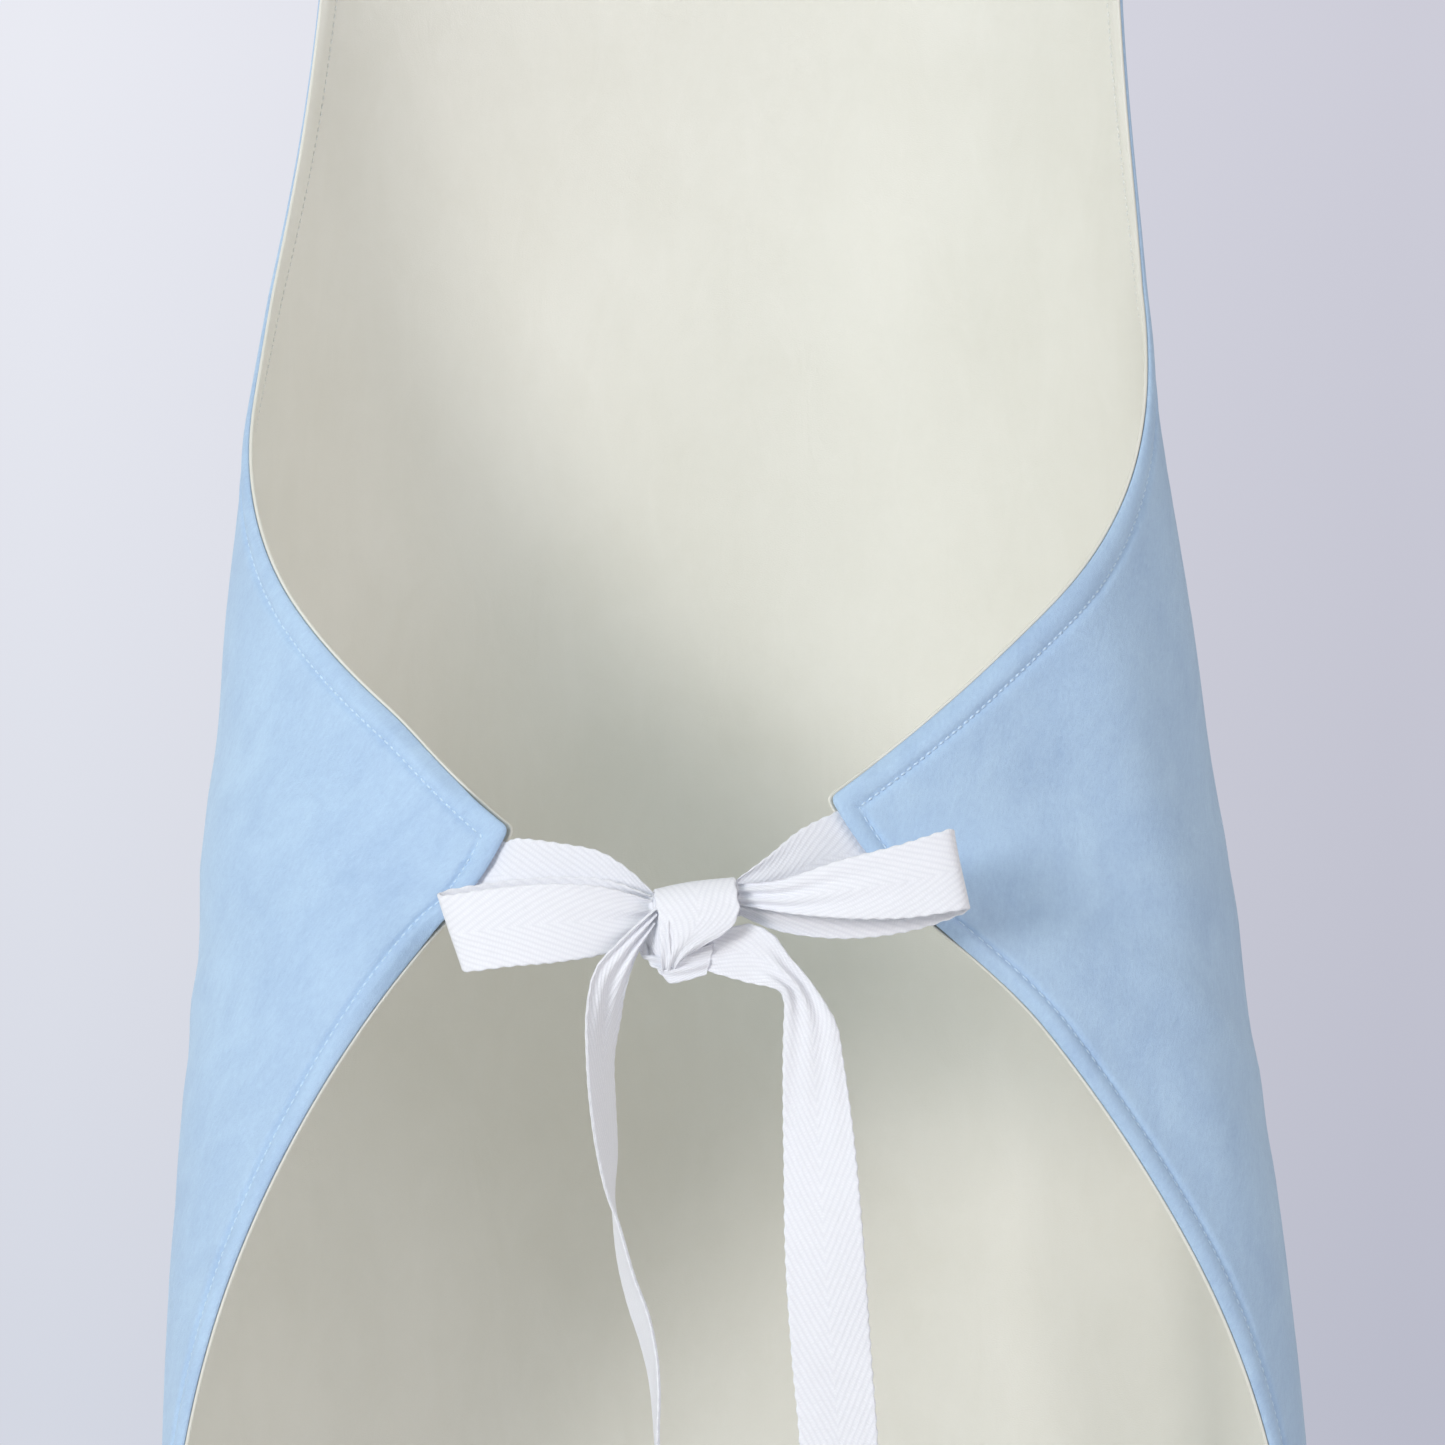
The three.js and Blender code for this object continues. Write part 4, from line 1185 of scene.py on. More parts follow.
def curve_through(points: Array, per_stretch: int = 24) -> Array:
    """A smooth centripetal curve through points.

    Args:
        points: What it passes through.
        per_stretch: How many steps it takes between two of them.

    Returns:
        The curve's points.
    """
    p = np.concatenate([[2 * points[0] - points[1]], points, [2 * points[-1] - points[-2]]])
    knots = np.concatenate([[0], np.cumsum(np.sqrt(np.linalg.norm(np.diff(p, axis=0), axis=1)))])
    made = []
    for i in range(1, len(p) - 2):
        t = np.linspace(knots[i], knots[i + 1], per_stretch, endpoint=i == len(p) - 3)[:, None]
        k0, k1, k2, k3 = knots[i - 1:i + 3]
        a1 = (k1 - t) / (k1 - k0) * p[i - 1] + (t - k0) / (k1 - k0) * p[i]
        a2 = (k2 - t) / (k2 - k1) * p[i] + (t - k1) / (k2 - k1) * p[i + 1]
        a3 = (k3 - t) / (k3 - k2) * p[i + 1] + (t - k2) / (k3 - k2) * p[i + 2]
        b1 = (k2 - t) / (k2 - k0) * a1 + (t - k0) / (k2 - k0) * a2
        b2 = (k3 - t) / (k3 - k1) * a2 + (t - k1) / (k3 - k1) * a3
        made.append((k2 - t) / (k2 - k1) * b1 + (t - k1) / (k2 - k1) * b2)
    return np.concatenate(made)


@dataclass
class Tape:
    """A length of twill tape that follows two smooth edge lines, in millimetres."""

    pairs: Array
    width: float = 25.0
    thickness: float = 1.0
    step: float = 1.0
    cup: float = 0.6
    pleats: float = 1.0
    scallop: float = 0.2
    scallop_pitch: float = 4.6
    start: float = 0.0
    hem: float = 0.0
    phase: float = 0.0
    edge_shares: tuple = (0, 0.004, 0.014, 0.03, 0.06)
    middle_shares: tuple = (0.1, 0.9, 17)
    selvage: float = 0.06
    selvage_flat: float = 0.18
    bead: float = 0.14
    bead_place: tuple = (0.95, 0.035)
    cup_beat: float = 23.0
    pleat_rise: float = 1.5
    pleat_power: float = 1.2
    pleat_count: float = 2.5
    pleat_turn: float = 90.0
    flutter: float = 0.28
    flutter_beat: float = 9.5
    hem_growth: float = 1.3
    hem_step: float = 0.8
    scallop_reach: float = 0.1

    def lines(self) -> tuple[Array, Array, Array]:
        """The two edges, evenly stepped along the tape's middle, and the distance along it."""
        a, b = curve_through(self.pairs[:, 0]), curve_through(self.pairs[:, 1])
        middle = (a + b) / 2
        length = np.concatenate([[0], np.cumsum(np.linalg.norm(np.diff(middle, axis=0), axis=1))])
        at = np.linspace(0, length[-1], max(4, int(round(length[-1] / self.step))))
        first, second = (np.stack([np.interp(at, length, edge[:, k]) for k in range(3)], axis=1)
                         for edge in (a, b))
        return first, second, at

    def piece(self, name: str) -> Piece:
        """The tape's mesh: rounded selvages, a slight cup, and pleats where it is gathered."""
        a, b, at = self.lines()
        edge = np.array(self.edge_shares)
        across = np.concatenate([edge, np.linspace(*self.middle_shares), 1 - edge[::-1]])
        from_middle = 2 * across - 1
        middle, span = (a + b) / 2, b - a
        along = unit(np.gradient(middle, axis=0))
        normal = unit(np.cross(along, span))
        selvage = np.clip((1 - np.abs(from_middle)) / self.selvage, 0, 1)
        lift = self.lift(at, across, np.linalg.norm(span, axis=1) / self.width, selvage)
        body = np.sqrt(1 - (1 - selvage) ** 2) * (1 - self.selvage_flat) + self.selvage_flat * (selvage > 0)
        body = body * (1 + self.bead * bell(np.abs(from_middle), *self.bead_place))
        thick = np.full(len(at), self.thickness / 2)
        if self.hem:
            folded = at[-1] - self.hem
            thick = thick * (1 + self.hem_growth * smooth(at, folded, folded + self.hem_step))
        beat = 2 * math.pi * (at[:, None] / self.scallop_pitch + 0.5 * (across > 0.5)[None, :])
        selvages = bell(np.abs(from_middle), 1, self.scallop_reach)
        grown = 1 + 2 * self.scallop / self.width * np.cos(beat) * selvages
        sheet = middle[:, None, :] + ((across - 0.5)[None, :] * grown)[..., None] * span[:, None, :]
        half = thick[:, None] * body[None, :]
        top = sheet + normal[:, None, :] * (lift + half)[..., None]
        bottom = sheet + normal[:, None, :] * (lift - half)[..., None]
        ring = np.concatenate([top, bottom[:, ::-1]], axis=1)
        count = ring.shape[1]
        faces = tube_faces(len(at), count)
        last = (len(at) - 1) * count
        for j in range(count // 2 - 1):
            strip = (j, count - 1 - j, count - 2 - j, j + 1)
            faces += [strip[::-1], tuple(last + i for i in strip)]
        u = np.concatenate([across, across[::-1]]) * self.width * MM
        v = (at + self.start) * MM
        place = np.stack(np.broadcast_arrays(u[None, :], v[:, None]), axis=-1)
        return Piece(name, ring.reshape(-1, 3) * MM, faces, place.reshape(-1, 2))

    def lift(self, at: Array, across: Array, share: Array, selvage: Array) -> Array:
        """How far the tape's middle layer stands off the plane between its edges.

        Args:
            at: Distances along the tape.
            across: Shares of the way across it.
            share: How much of its width is spread out at each distance.
            selvage: How far from a selvage each share is, from 0 to 1.

        Returns:
            The heights, one for each distance and share.
        """
        from_middle = (2 * across - 1)[None, :]
        beat = (0.7 + 0.3 * np.sin(at / self.cup_beat + self.phase))[:, None]
        cup = self.cup * (1 - from_middle ** 2) * beat * share[:, None]
        turn = self.pleat_count * across[None, :] + at[:, None] / self.pleat_turn
        gathered = np.clip(1 - share, 0, 1)[:, None] ** self.pleat_power
        pleat = self.pleats * self.pleat_rise * gathered * np.sin(2 * math.pi * turn + self.phase) * selvage
        flutter = self.flutter * np.sin(at / self.flutter_beat + self.phase)[:, None] * from_middle ** 3
        return cup + pleat + flutter

    @property
    def flat_size(self) -> tuple[float, float]:
        """The width and length of the strip before it is hung, in metres."""
        return self.width * MM, float(self.lines()[2][-1]) * MM


def pairs_about(stations: Sequence[tuple], width: float) -> Array:
    """Pairs of edge points from middle points and directions across the tape."""
    made = []
    for middle, across in stations:
        half = np.array(across, float)
        half = half / np.linalg.norm(half) * width / 2
        made.append([np.array(middle, float) - half, np.array(middle, float) + half])
    return np.array(made)


@dataclass
class Bow:
    """The waist tapes from the ears to the knot, and the knot, loops and tails of their bow."""

    cut: Cut
    layers: Layers
    hang: Hang
    knot_x: float = 5.5
    knot_z: float = -508.0
    standoff: float = 12.5
    insert: float = 15.0
    end_margin: float = 4.5
    lead_left: tuple = (
        (58.5, -16.5, 14.9, 0.18, 0.04, -0.95), (41.9, -12, 12.9, 0, 0, -1),
        (29.4, -8.5, 10.8, 0, 0, -0.97), (20.2, -6.5, 7.3, 0, 0, -0.8),
        (12.6, -5, 3.2, 0, 0, -0.56),
    )
    lead_right: tuple = (
        (-38.8, -12, 20.3, -0.5, 0, -0.74), (-26.3, -8.5, 13.8, -0.25, 0, -0.66),
        (-12.7, -5, 8.6, 0, 0, -0.46),
    )
    loop_left: tuple = (
        (13.8, 2.2, 4, 0.03, 0, -0.35), (27.7, 6, 2.5, -0.12, 0, -0.81),
        (44.5, 8, 1.4, -0.24, 0, -0.96),
        (61.4, 7, -0.3, -0.37, 0, -0.94), (73.3, 3.5, -2, -0.32, 0, -0.94),
        (75.2, 1, -1.8, -0.33, 0, -0.95),
        (73.5, -1, -1, -0.32, 0, -0.96), (58.7, -3, 1.6, -0.12, 0, -0.98),
        (41.8, -4, 3.1, 0, 0, -0.98),
        (26.3, -3, 4.2, 0, 0, -0.8), (13.8, -1.2, 5.6, 0.02, 0, -0.33),
    )
    loop_right: tuple = (
        (-13.4, 2.2, 10, -0.02, 0, -0.26), (-27.7, 6, 9.4, -0.12, 0, -0.42),
        (-46, 11, 11.8, -0.12, 0, -0.72),
        (-64.3, 12.5, 14.4, -0.12, 0, -0.9), (-80, 11.5, 17.9, -0.22, 0, -0.98),
        (-81.7, 9, 18, -0.22, 0, -0.98), (-80.3, 6.5, 16.7, -0.22, 0, -0.98),
        (-66, 2.5, 11, -0.15, 0, -0.96),
        (-46, -0.5, 6.8, -0.1, 0, -0.85), (-26, -1.5, 5.2, 0, 0, -0.54), (-13.5, -1.2, 7, 0, 0, -0.28),
    )
    tail_left: tuple = (
        (12.4, 6, 3.4, 0.06, 0, -0.25), (20.7, 9, -6.9, -0.18, -0.1, -0.25),
        (26.0, 9.5, -16.5, -0.36, -0.3, -0.33), (27.9, 8.5, -26, -0.42, -0.5, -0.12),
        (29.0, 7.5, -41, -0.30, -0.85, 0), (28.2, 6.2, -56, -0.25, -0.95, 0),
        (26.8, 5.2, -71, -0.20, -0.97, 0),
        (26.0, 4.6, -81, -0.08, -0.99, 0), (24.3, 4.2, -90, 0.06, -1, 0),
        (21.2, 3.8, -105.5, 0.21, -0.98, 0),
        (17.4, 3.6, -118, 0.28, -0.96, 0), (14.2, 3.5, -130, 0.20, -0.98, 0),
        (12.5, 3.5, -141, 0.11, -0.99, 0),
        (11.8, 3.5, -158, 0.05, -1, 0), (9, 3.5, -212, 0.24, -0.97, 0), (9, 3.5, -272, 0.5, -0.86, 0),
    )
    tail_right: tuple = (
        (3.0, 0.5, -5.3, -0.24, 0, 0.34), (-5.5, 2.2, -6.8, -0.28, 0, 0.50),
        (-13.3, 3.0, -7.2, -0.30, 0, 0.65),
        (-20.8, 3.6, -9.9, -0.28, 0, 0.60), (-26.2, 4.3, -13.9, -0.25, -0.15, 0.36),
        (-30.2, 4.2, -17.6, -0.33, -0.2, 0.16), (-33.4, 3.6, -22.6, -0.48, -0.15, 0.03),
        (-35.5, 3.2, -30.0, -0.66, -0.05, 0), (-36.4, 3, -41, -0.75, 0, 0),
        (-38.4, 2.5, -69, -0.89, 0.2, 0),
        (-40, 2, -100, -0.98, 0.1, 0), (-42.1, 1.5, -132, -0.99, 0, 0), (-44.4, 1, -160, -0.97, 0, 0),
        (-47, 1, -222, -0.97, 0.2, 0), (-47, 1.5, -290, -0.95, 0.3, 0),
    )
    bend_left: tuple = ((12.0, 6.0, 4.0), (22.0, 9.5, -9.0))
    bend_right: tuple = ((-6.5, 2.5, -6.5), (-23.0, 3.0, -8.5))
    knot_band: tuple = (
        (0.2, -2.5, 11.0, -1.0, 0, 0.1), (0.1, 3.2, 12.9, -1.0, 0, 0.14), (-0.4, 7.4, 9.6, -1.0, 0, 0.12),
        (-1.2, 9.2, 4.0, -0.99, 0, 0.06), (0.2, 9.4, -0.6, -0.86, 0, 0.0), (3.0, 9.0, -4.6, -0.62, 0, 0.02),
        (6.0, 7.6, -8.8, -0.36, 0, 0.08), (7.6, 5.0, -12.4, -0.2, 0, 0.08),
        (7.8, 0.5, -13.6, -0.16, 0, 0.06),
    )
    knot_side: tuple = (
        (10.4, -3.0, 9.6, 0.3, -0.3, 0), (11.6, 2.6, 8.2, 0.34, -0.36, 0), (12.4, 5.0, 2.0, 0.38, -0.4, 0),
        (12.2, 5.2, -4.0, 0.38, -0.4, 0), (10.6, 4.4, -9.4, 0.3, -0.3, 0), (9.0, 1.0, -12.6, 0.2, -0.2, 0),
    )
    knot_lobe: tuple = (
        (14.4, 3.0, -6.4, 0.18, 0, 0.2), (13.6, 4.2, -10.4, 0.26, 0, 0.22), (9.2, 4.6, -13.0, 0.1, 0, 0.34),
        (2.6, 4.2, -12.2, -0.06, 0, 0.36), (-4.6, 3.0, -9.8, -0.1, 0, 0.4),
    )

    core_rings: tuple = (
        (-13.0, 2.0, 9.0, 2.6), (-10.5, 0.0, 11.4, 4.6), (-5.0, -4.5, 12.6, 6.4), (2.0, -8.6, 13.2, 7.0),
        (8.0, -10.0, 12.6, 6.4), (11.4, -8.0, 10.6, 3.4),
    )
    core_sides: int = 40
    core_squareness: float = 0.8
    core_girth: float = 50.0

    @property
    def centre(self) -> Array:
        """The knot's centre."""
        back = self.hang.wearer.sizes(np.array([-self.knot_z]))[0, 2]
        return np.array([self.knot_x, self.hang.wearer.axis_y + back + self.standoff, self.knot_z])

    def pairs(self, stations: Sequence[tuple]) -> Array:
        """Pairs of edge points from stations about the knot's centre."""
        table = np.array(stations, float)
        middle, half = self.centre + table[:, :3], table[:, 3:] * self.layers.tape_width / 2
        return np.stack([middle - half, middle + half], axis=1)

    def in_ear(self, side: int, depth: float) -> Array:
        """The pair of a waist tape at a depth inside an ear's end."""
        slant = self.cut.ear_low - self.cut.ear_top
        along = slant / np.linalg.norm(slant)
        start = self.cut.ear_top + along * self.end_margin
        flat = np.array([start + along * across + inward(along) * depth
                         for across in (0, self.layers.tape_width)])
        return self.pocketed(flat * (side, 1))

    def pocketed(self, flat: Array) -> Array:
        """Points of the flat cut, half way between the layers."""
        lift = self.layers.face_inner + (self.layers.pocket(flat, self.cut) - self.layers.gap) / 2
        return self.hang.place(flat, lift)

    def build(self, finishes: Finishes) -> None:
        """Makes every tape of the bow."""
        for side, name, stations in ((1, "left", self.lead_left), (-1, "right", self.lead_right)):
            sewn = np.array([self.in_ear(side, depth) for depth in (self.insert, self.insert / 2, 0.0)])
            lead = Tape(np.concatenate([sewn, self.pairs(stations)]), cup=0.25, phase=side)
            self.finish(lead, f"lead_tape_{name}", "gown", finishes, f"waist_lead_{name}",
                        "stretched", ["face_panel", "bow_knot"])
        for name, stations in (("left", self.loop_left), ("right", self.loop_right)):
            loop = Tape(self.pairs(stations), cup=0.35, phase=2.0 if name == "left" else 0.4)
            self.finish(loop, f"loop_tape_{name}", f"loop_{name}", finishes, f"bow_loop_{name}",
                        "folded", ["bow_knot"])
        for name, stations, bend in (("left", self.tail_left, self.bend_left),
                                     ("right", self.tail_right, self.bend_right)):
            tail = Tape(self.pairs(stations), cup=0.5, hem=9.0, phase=1.2 if name == "left" else 3.0)
            made = tail.piece(f"tail_tape_{name}").make(
                finishes.tape, Slot.TAPE, None, f"waist_tail_{name}")
            start, end = (self.centre + np.array(bend)) * MM
            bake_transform(made)
            tail.flat_size
        band = Tape(self.pairs(self.knot_band), cup=0.9, pleats=0.5, step=0.7, start=40)
        self.finish(band, "knot_band", "gown", finishes, "bow_knot")
        side_band = Tape(self.pairs(self.knot_side), cup=0.5, pleats=0.3, step=0.7, start=11)
        self.finish(side_band, "knot_side", "gown", finishes, "bow_knot")
        lobe = Tape(self.pairs(self.knot_lobe), cup=1.2, pleats=0.5, step=0.6, start=23)
        self.finish(lobe, "knot_lobe", "gown", finishes, "bow_knot")
        self.core(finishes)

    def finish(self, tape: Tape, name: str, body: str, finishes: Finishes, node: str,
               held: str = "", rests_on: Sequence[str] = ()) -> None:
        """Makes one tape."""
        made = tape.piece(name).make(finishes.tape, Slot.TAPE, body, node)
        if held:
            tape.flat_size

    def core(self, finishes: Finishes) -> bpy.types.Object:
        """The bundle of tape inside the knot."""
        rings = curve_through(np.array(self.core_rings), 6)
        angle = np.linspace(0, 2 * math.pi, self.core_sides, endpoint=False)
        c, s = np.cos(angle), np.sin(angle)
        height, left, right, deep = (rings[:, k:k + 1] for k in range(4))
        x = (left + right) / 2 + (right - left) / 2 * c
        y = deep * np.sign(s) * np.abs(s) ** self.core_squareness
        z = np.broadcast_to(height, x.shape)
        points = np.stack([x, y, z], axis=-1) + self.centre
        rows, columns = x.shape
        around = (angle / (2 * math.pi))[None, :] * self.core_girth * MM
        place = np.stack(np.broadcast_arrays(around, height * MM), axis=-1).reshape(-1, 2)
        piece = Piece("knot_core", points.reshape(-1, 3) * MM, closed_tube(rows, columns), place)
        return piece.make(finishes.tape, Slot.TAPE, "gown", "bow_knot")


@dataclass
class NeckTapes:
    """The two neck tapes, which lap at the nape and close with a press stud."""

    bow: Bow
    nape_flat: float = 66.0
    hinge_x: float = -12.0
    flap_end: float = -46.0
    inner_end: float = 50.0
    outer_y: float = 5.5
    bend: float = 6.0
    mouth_depth: float = 1.0
    nape_turn: float = 4.0
    shoulder: tuple = (
        (110, -124, -104, 1, 0.25, -0.1), (97, -108, -60, 1, 0.2, -0.25),
        (86, -76, -22, 0.9, 0.05, -0.5), (79, -36, -5, 0.5, 0, -0.87),
    )

    def pairs(self, side: int, end_x: float, inner_y: float) -> Array:
        """The pairs of one side's tape, from inside the bib to its end at the nape."""
        cut, layers = self.bow.cut, self.bow.layers
        middle = cut.bib_half_width - layers.tape_width / 2 - self.bow.end_margin
        made = []
        across = middle + np.array([-0.5, 0.5]) * layers.tape_width
        for depth in (self.bow.insert, self.bow.insert / 2, self.mouth_depth):
            height = cut.neckline(across / cut.bib_half_width) - depth
            made.append(self.bow.pocketed(np.stack([side * across, height], axis=1)))
        shoulder = [((side * x, y, z), (side * i, j, k)) for x, y, z, i, j, k in self.shoulder]
        near = self.nape_flat - self.nape_turn
        along = (self.nape_flat, near, (near + side * end_x) / 2, side * end_x)
        nape = [((side * x, inner_y + layers.tape / 2, 0), (0, 0, -1)) for x in along]
        return np.concatenate([made, pairs_about([*shoulder, *nape], layers.tape_width)])

    def build(self, finishes: Finishes) -> None:
        """Makes both tapes. The left one goes on into the flap."""
        left = Tape(self.pairs(1, self.flap_end, self.outer_y), cup=0.0, hem=10.0)
        made = left.piece("neck_strap_left").make(
            finishes.tape, Slot.TAPE, None, "neck_tape_left", "neck_flap")
        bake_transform(made)
        left.flat_size
        right = Tape(self.pairs(-1, self.inner_end, 0.0), cup=0.0, hem=10.0, phase=1.7)
        made = right.piece("neck_strap_right").make(finishes.tape, Slot.TAPE, "gown", "neck_tape_right")
        right.flat_size


@dataclass
class PressStuds:
    """Moulded press studs: a cap and its stud on each tape, and a socket on the flap."""

    stud_x: float = -34.0
    spare_x: float = -54.0
    flap_face: float = 6.5
    socket_y: float = 2.4
    seat: float = 1.3
    sides: int = 56
    sharp: float = math.radians(40)
    cap: tuple = (
        (0.0, -1.9), (1.2, -1.9), (1.2, 0.3), (5.6, 0.3), (5.95, 0.45), (6.0, 0.7), (5.85, 0.95),
        (5.4, 1.15),
        (5.0, 1.18), (4.6, 1.08), (4.3, 1.08), (3.6, 1.28), (2.4, 1.42), (1.2, 1.48), (0.0, 1.5),
    )
    stud: tuple = (
        (0.0, 0.9), (1.5, 0.9), (1.5, 0.0), (4.45, 0.0), (4.6, 0.15), (4.6, 0.6), (4.45, 0.78), (2.4, 0.8),
        (1.95, 0.95), (1.75, 1.3), (1.9, 1.65), (1.85, 1.95), (1.5, 2.1), (0.0, 2.1),
    )
    socket: tuple = (
        (0.0, 1.6), (2.2, 1.6), (2.2, 0.25), (2.45, 0.0), (4.8, 0.0), (5.0, 0.2), (5.0, 2.6), (4.8, 2.8),
        (1.5, 2.8), (1.5, 1.9), (0.0, 1.9),
    )

    def turned(self, name: str, profile: Sequence[tuple], x: float, y: float, facing: int, body: str,
               finishes: Finishes) -> bpy.types.Object:
        """A turned piece about a line along Y.

        Args:
            name: The node that it stands for.
            profile: Its radius and height, from its low end to its high end.
            x: Where its axis is.
            y: Where its base is.
            facing: 1 where it rises outwards or -1 where it rises towards the nape.
            body: The body that it rides on.
            finishes: The gown's finishes.

        Returns:
            The new object.
        """
        inner = np.array(profile[1:-1])
        angle = np.linspace(0, 2 * math.pi, self.sides, endpoint=False)
        r, h = inner[:, :1], inner[:, 1:]
        ring = np.stack(np.broadcast_arrays(
            x + r * np.cos(angle), y + facing * h, facing * r * np.sin(angle)), axis=-1)
        ends = np.array([(x, y + facing * profile[0][1], 0), (x, y + facing * profile[-1][1], 0)])
        points = np.concatenate([ring.reshape(-1, 3), ends])
        faces = tube_faces(len(inner), self.sides, flip=True)
        low, high, last = len(points) - 2, len(points) - 1, (len(inner) - 1) * self.sides
        for j in range(self.sides):
            k = (j + 1) % self.sides
            faces += [(low, k, j)[::-1], (high, last + j, last + k)[::-1]]
        made = Piece(f"moulded_{name}", points * MM, faces).make(finishes.resin, Slot.STUD, body, name)
        made.data.set_sharp_from_angle(angle=self.sharp)
        return made

    def build(self, finishes: Finishes) -> None:
        """Makes every stud piece where the frame has it."""
        self.turned("flap_cap", self.cap, self.stud_x, self.flap_face, 1, "flap", finishes)
        self.turned("flap_socket", self.socket, self.stud_x, self.socket_y, 1, "flap", finishes)
        for prefix, stud, x in (("stud", "stud", self.stud_x), ("spare", "spare_stud", self.spare_x)):
            self.turned(f"{prefix}_cap", self.cap, x, 0.0, -1, "gown", finishes)
            self.turned(stud, self.stud, x, self.seat, 1, "gown", finishes)


# ---- Studio ---------------------------------------------------------------------------------


@dataclass(frozen=True)
class Lamp:
    """A square soft light: its name, place, size in metres, power in watts and colour."""

    name: str
    at: tuple
    size: float
    power: float
    colour: tuple


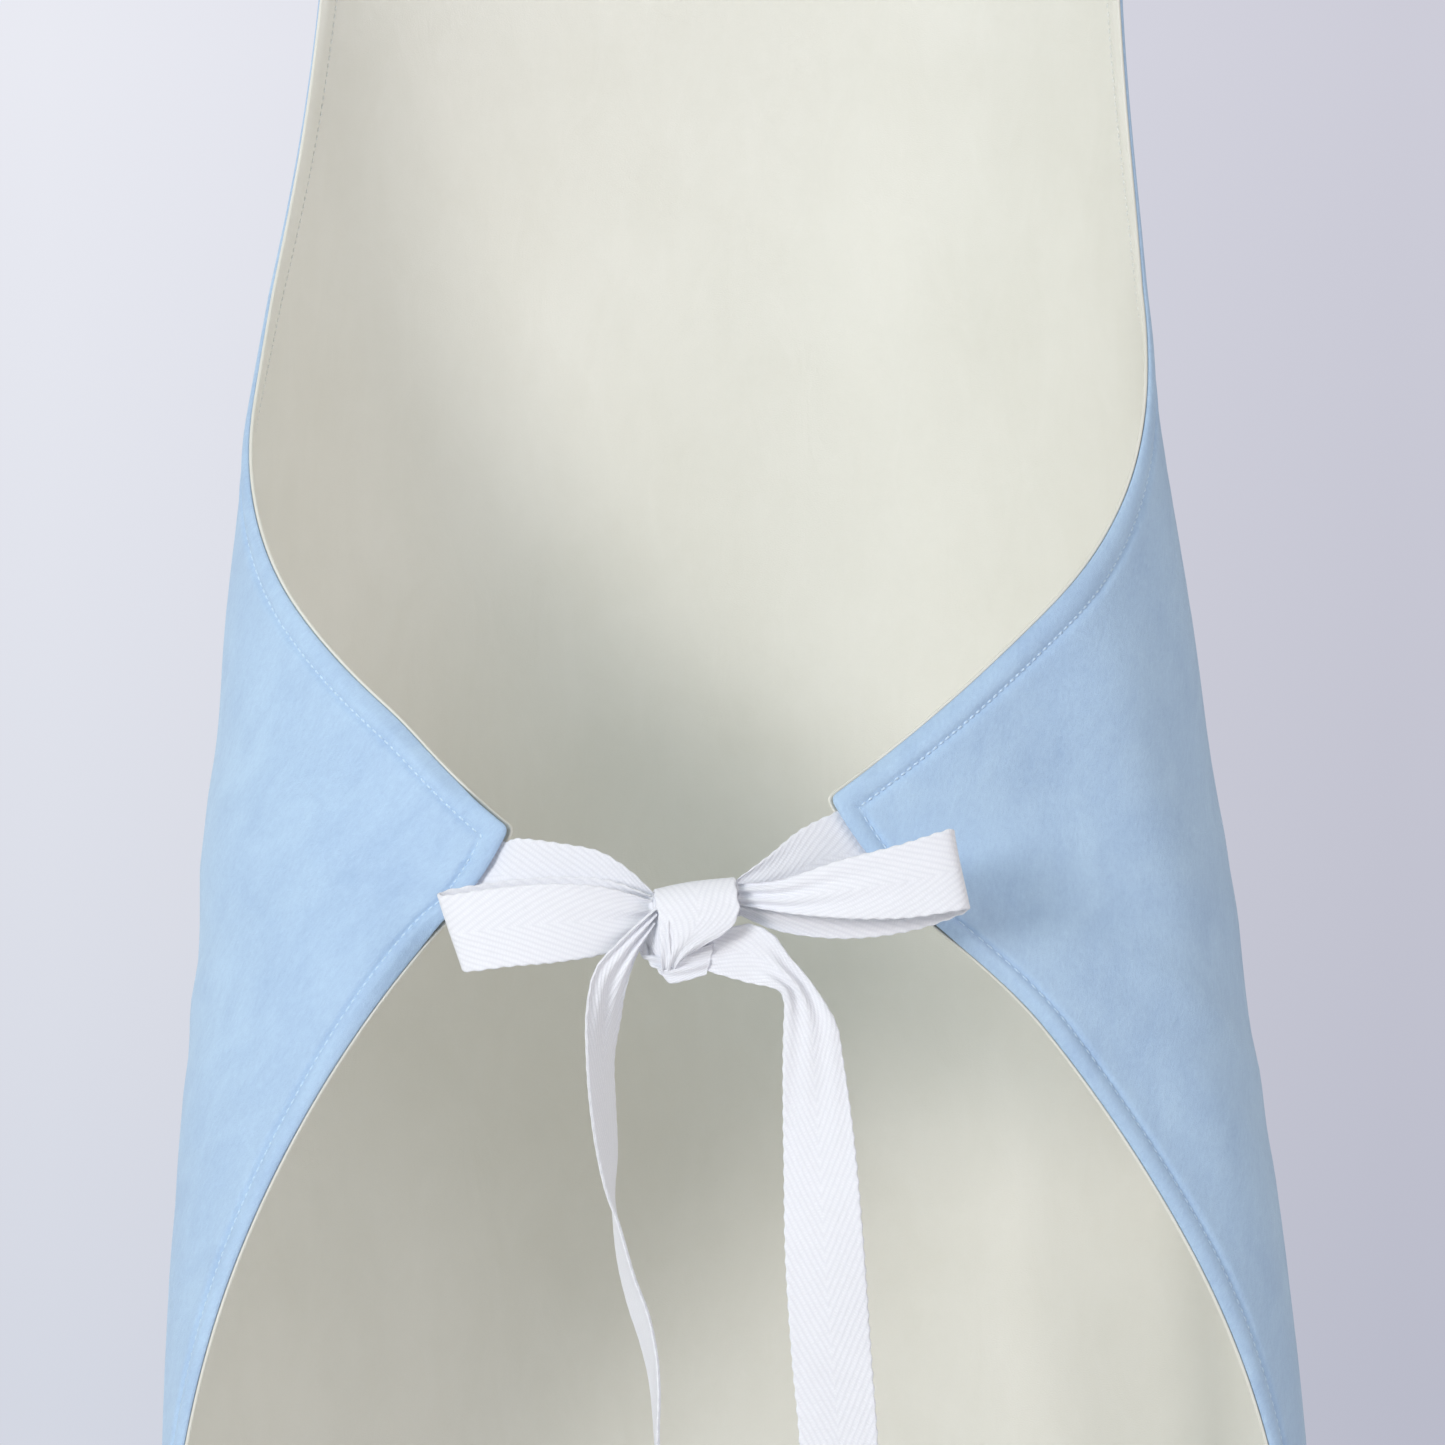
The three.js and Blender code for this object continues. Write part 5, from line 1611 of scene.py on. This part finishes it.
@dataclass
class Studio:
    """A pale floor, soft light from the camera's left, and a level camera behind the wearer."""

    camera_at: tuple = (-0.003, 1.552, -0.445)
    subject_y: float = 0.052
    field_width: float = 0.448
    sensor: float = 36.0
    floor_z: float = -1.30
    floor_radius: float = 3.2
    fade_reach: float = 0.137
    right_side: Colour = (0.578, 0.585, 0.678, 1.0)
    left_side: Colour = (0.772, 0.797, 0.875, 1.0)
    low_down: Colour = (0.855, 0.860, 0.875, 1.0)
    high_up: Colour = (1.060, 1.040, 1.020, 1.0)
    ambient: Colour = (0.430, 0.425, 0.385, 1.0)
    lit_point: tuple = (0.0, 0.0, -0.5)
    lamps: tuple = (
        Lamp("key", (1.40, 1.66, -0.10), 0.6, 24.5, (1.0, 0.96, 0.94)),
        Lamp("high", (1.10, 1.90, 0.70), 1.0, 7.5, (0.50, 0.80, 1.0)),
        Lamp("right", (-1.90, 1.50, 0.10), 1.5, 15.0, (1.0, 0.92, 0.98)),
        Lamp("front", (1.20, -2.20, 0.50), 1.8, 20.0, (0.98, 0.99, 1.0)),
    )
    floor_sides: int = 96
    floor_grain: Cloud = Cloud(3.0)
    floor_pale: Colour = (0.70, 0.71, 0.74, 1.0)
    floor_paler: Colour = (0.74, 0.75, 0.78, 1.0)
    floor_roughness: float = 0.9

    def build(self) -> None:
        """Makes the floor, the lights, the surroundings and the camera."""
        self.camera()
        self.floor()
        bpy.context.scene.view_settings.view_transform = "Standard"
        for lamp in self.lamps:
            self.light(lamp)
        self.surroundings()

    def camera(self) -> None:
        """A long lens, level, straight at the back of the gown."""
        data = bpy.data.cameras.new("camera")
        data.sensor_width = self.sensor
        data.lens = self.sensor * (self.camera_at[1] - self.subject_y) / self.field_width
        made = bpy.data.objects.new("camera", data)
        made.location = self.camera_at
        made.rotation_euler = (math.pi / 2, 0, math.pi)
        bpy.context.scene.collection.objects.link(made)
        bpy.context.scene.camera = made

    def light(self, lamp: Lamp) -> None:
        """A lamp that faces the gown's waist."""
        data = bpy.data.lights.new(lamp.name, "AREA")
        data.size, data.energy, data.color = lamp.size, lamp.power, lamp.colour
        made = bpy.data.objects.new(lamp.name, data)
        made.location = lamp.at
        facing = Vector(self.lit_point) - Vector(lamp.at)
        made.rotation_euler = facing.to_track_quat("-Z", "Y").to_euler()
        bpy.context.scene.collection.objects.link(made)

    def floor(self) -> None:
        """A round pale floor under the gown."""
        angle = np.linspace(0, 2 * math.pi, self.floor_sides, endpoint=False)
        rim = np.stack([np.cos(angle) * self.floor_radius, np.sin(angle) * self.floor_radius,
                        np.full_like(angle, self.floor_z)], axis=1)
        mesh = bpy.data.meshes.new("floor")
        mesh.from_pydata(rim.tolist(), [], [tuple(range(len(rim)))])
        shader = Shader("floor")
        grain = shader.noise(shader.node("ShaderNodeTexCoord").outputs["Object"], self.floor_grain)
        colour = shader.mix(grain, self.floor_pale, self.floor_paler)
        mesh.materials.append(shader.finish(Base_Color=colour, Roughness=self.floor_roughness))
        made = bpy.data.objects.new("floor", mesh)
        bpy.context.scene.collection.objects.link(made)

    def surroundings(self) -> None:
        """A pale surround, lighter to the left and darker low down, and an even soft light."""
        world = bpy.data.worlds.new("studio")
        bpy.context.scene.world = world
        world.use_nodes = True
        tree = world.node_tree
        tree.nodes.clear()

        def add(kind: str, **settings: object) -> bpy.types.Node:
            """Adds a node with its settings."""
            made = tree.nodes.new(kind)
            for key, value in settings.items():
                setattr(made, key, value)
            return made

        split = add("ShaderNodeSeparateXYZ")
        tree.links.new(add("ShaderNodeTexCoord").outputs["Generated"], split.inputs[0])
        product = add("ShaderNodeVectorMath", operation="MULTIPLY")
        for k, (axis, low, high) in enumerate((("X", self.right_side, self.left_side),
                                               ("Z", self.low_down, self.high_up))):
            share = add("ShaderNodeMapRange")
            share.inputs["From Min"].default_value = -self.fade_reach
            share.inputs["From Max"].default_value = self.fade_reach
            tree.links.new(split.outputs[axis], share.inputs["Value"])
            blend = add("ShaderNodeMix", data_type="RGBA")
            blend.inputs[6].default_value, blend.inputs[7].default_value = low, high
            tree.links.new(share.outputs[0], blend.inputs[0])
            tree.links.new(blend.outputs[2], product.inputs[k])
        seen, light = add("ShaderNodeBackground"), add("ShaderNodeBackground")
        tree.links.new(product.outputs[0], seen.inputs["Color"])
        light.inputs["Color"].default_value = self.ambient
        choice = add("ShaderNodeMixShader")
        tree.links.new(add("ShaderNodeLightPath").outputs["Is Camera Ray"], choice.inputs[0])
        tree.links.new(light.outputs[0], choice.inputs[1])
        tree.links.new(seen.outputs[0], choice.inputs[2])
        tree.links.new(choice.outputs[0], add("ShaderNodeOutputWorld").inputs["Surface"])


def main() -> None:
    """Builds the gown and its studio."""
    logging.basicConfig(level=logging.INFO, format="%(message)s")
    finishes = Finishes()
    cut, layers = Cut(), Layers()
    hang = Hang(Wearer(), Drape())
    Studio().build()
    Panels(cut, layers, hang).build(finishes)
    bow = Bow(cut, layers, hang)
    bow.build(finishes)
    NeckTapes(bow).build(finishes)
    PressStuds().build(finishes)


if __name__ == "__main__":
    main()
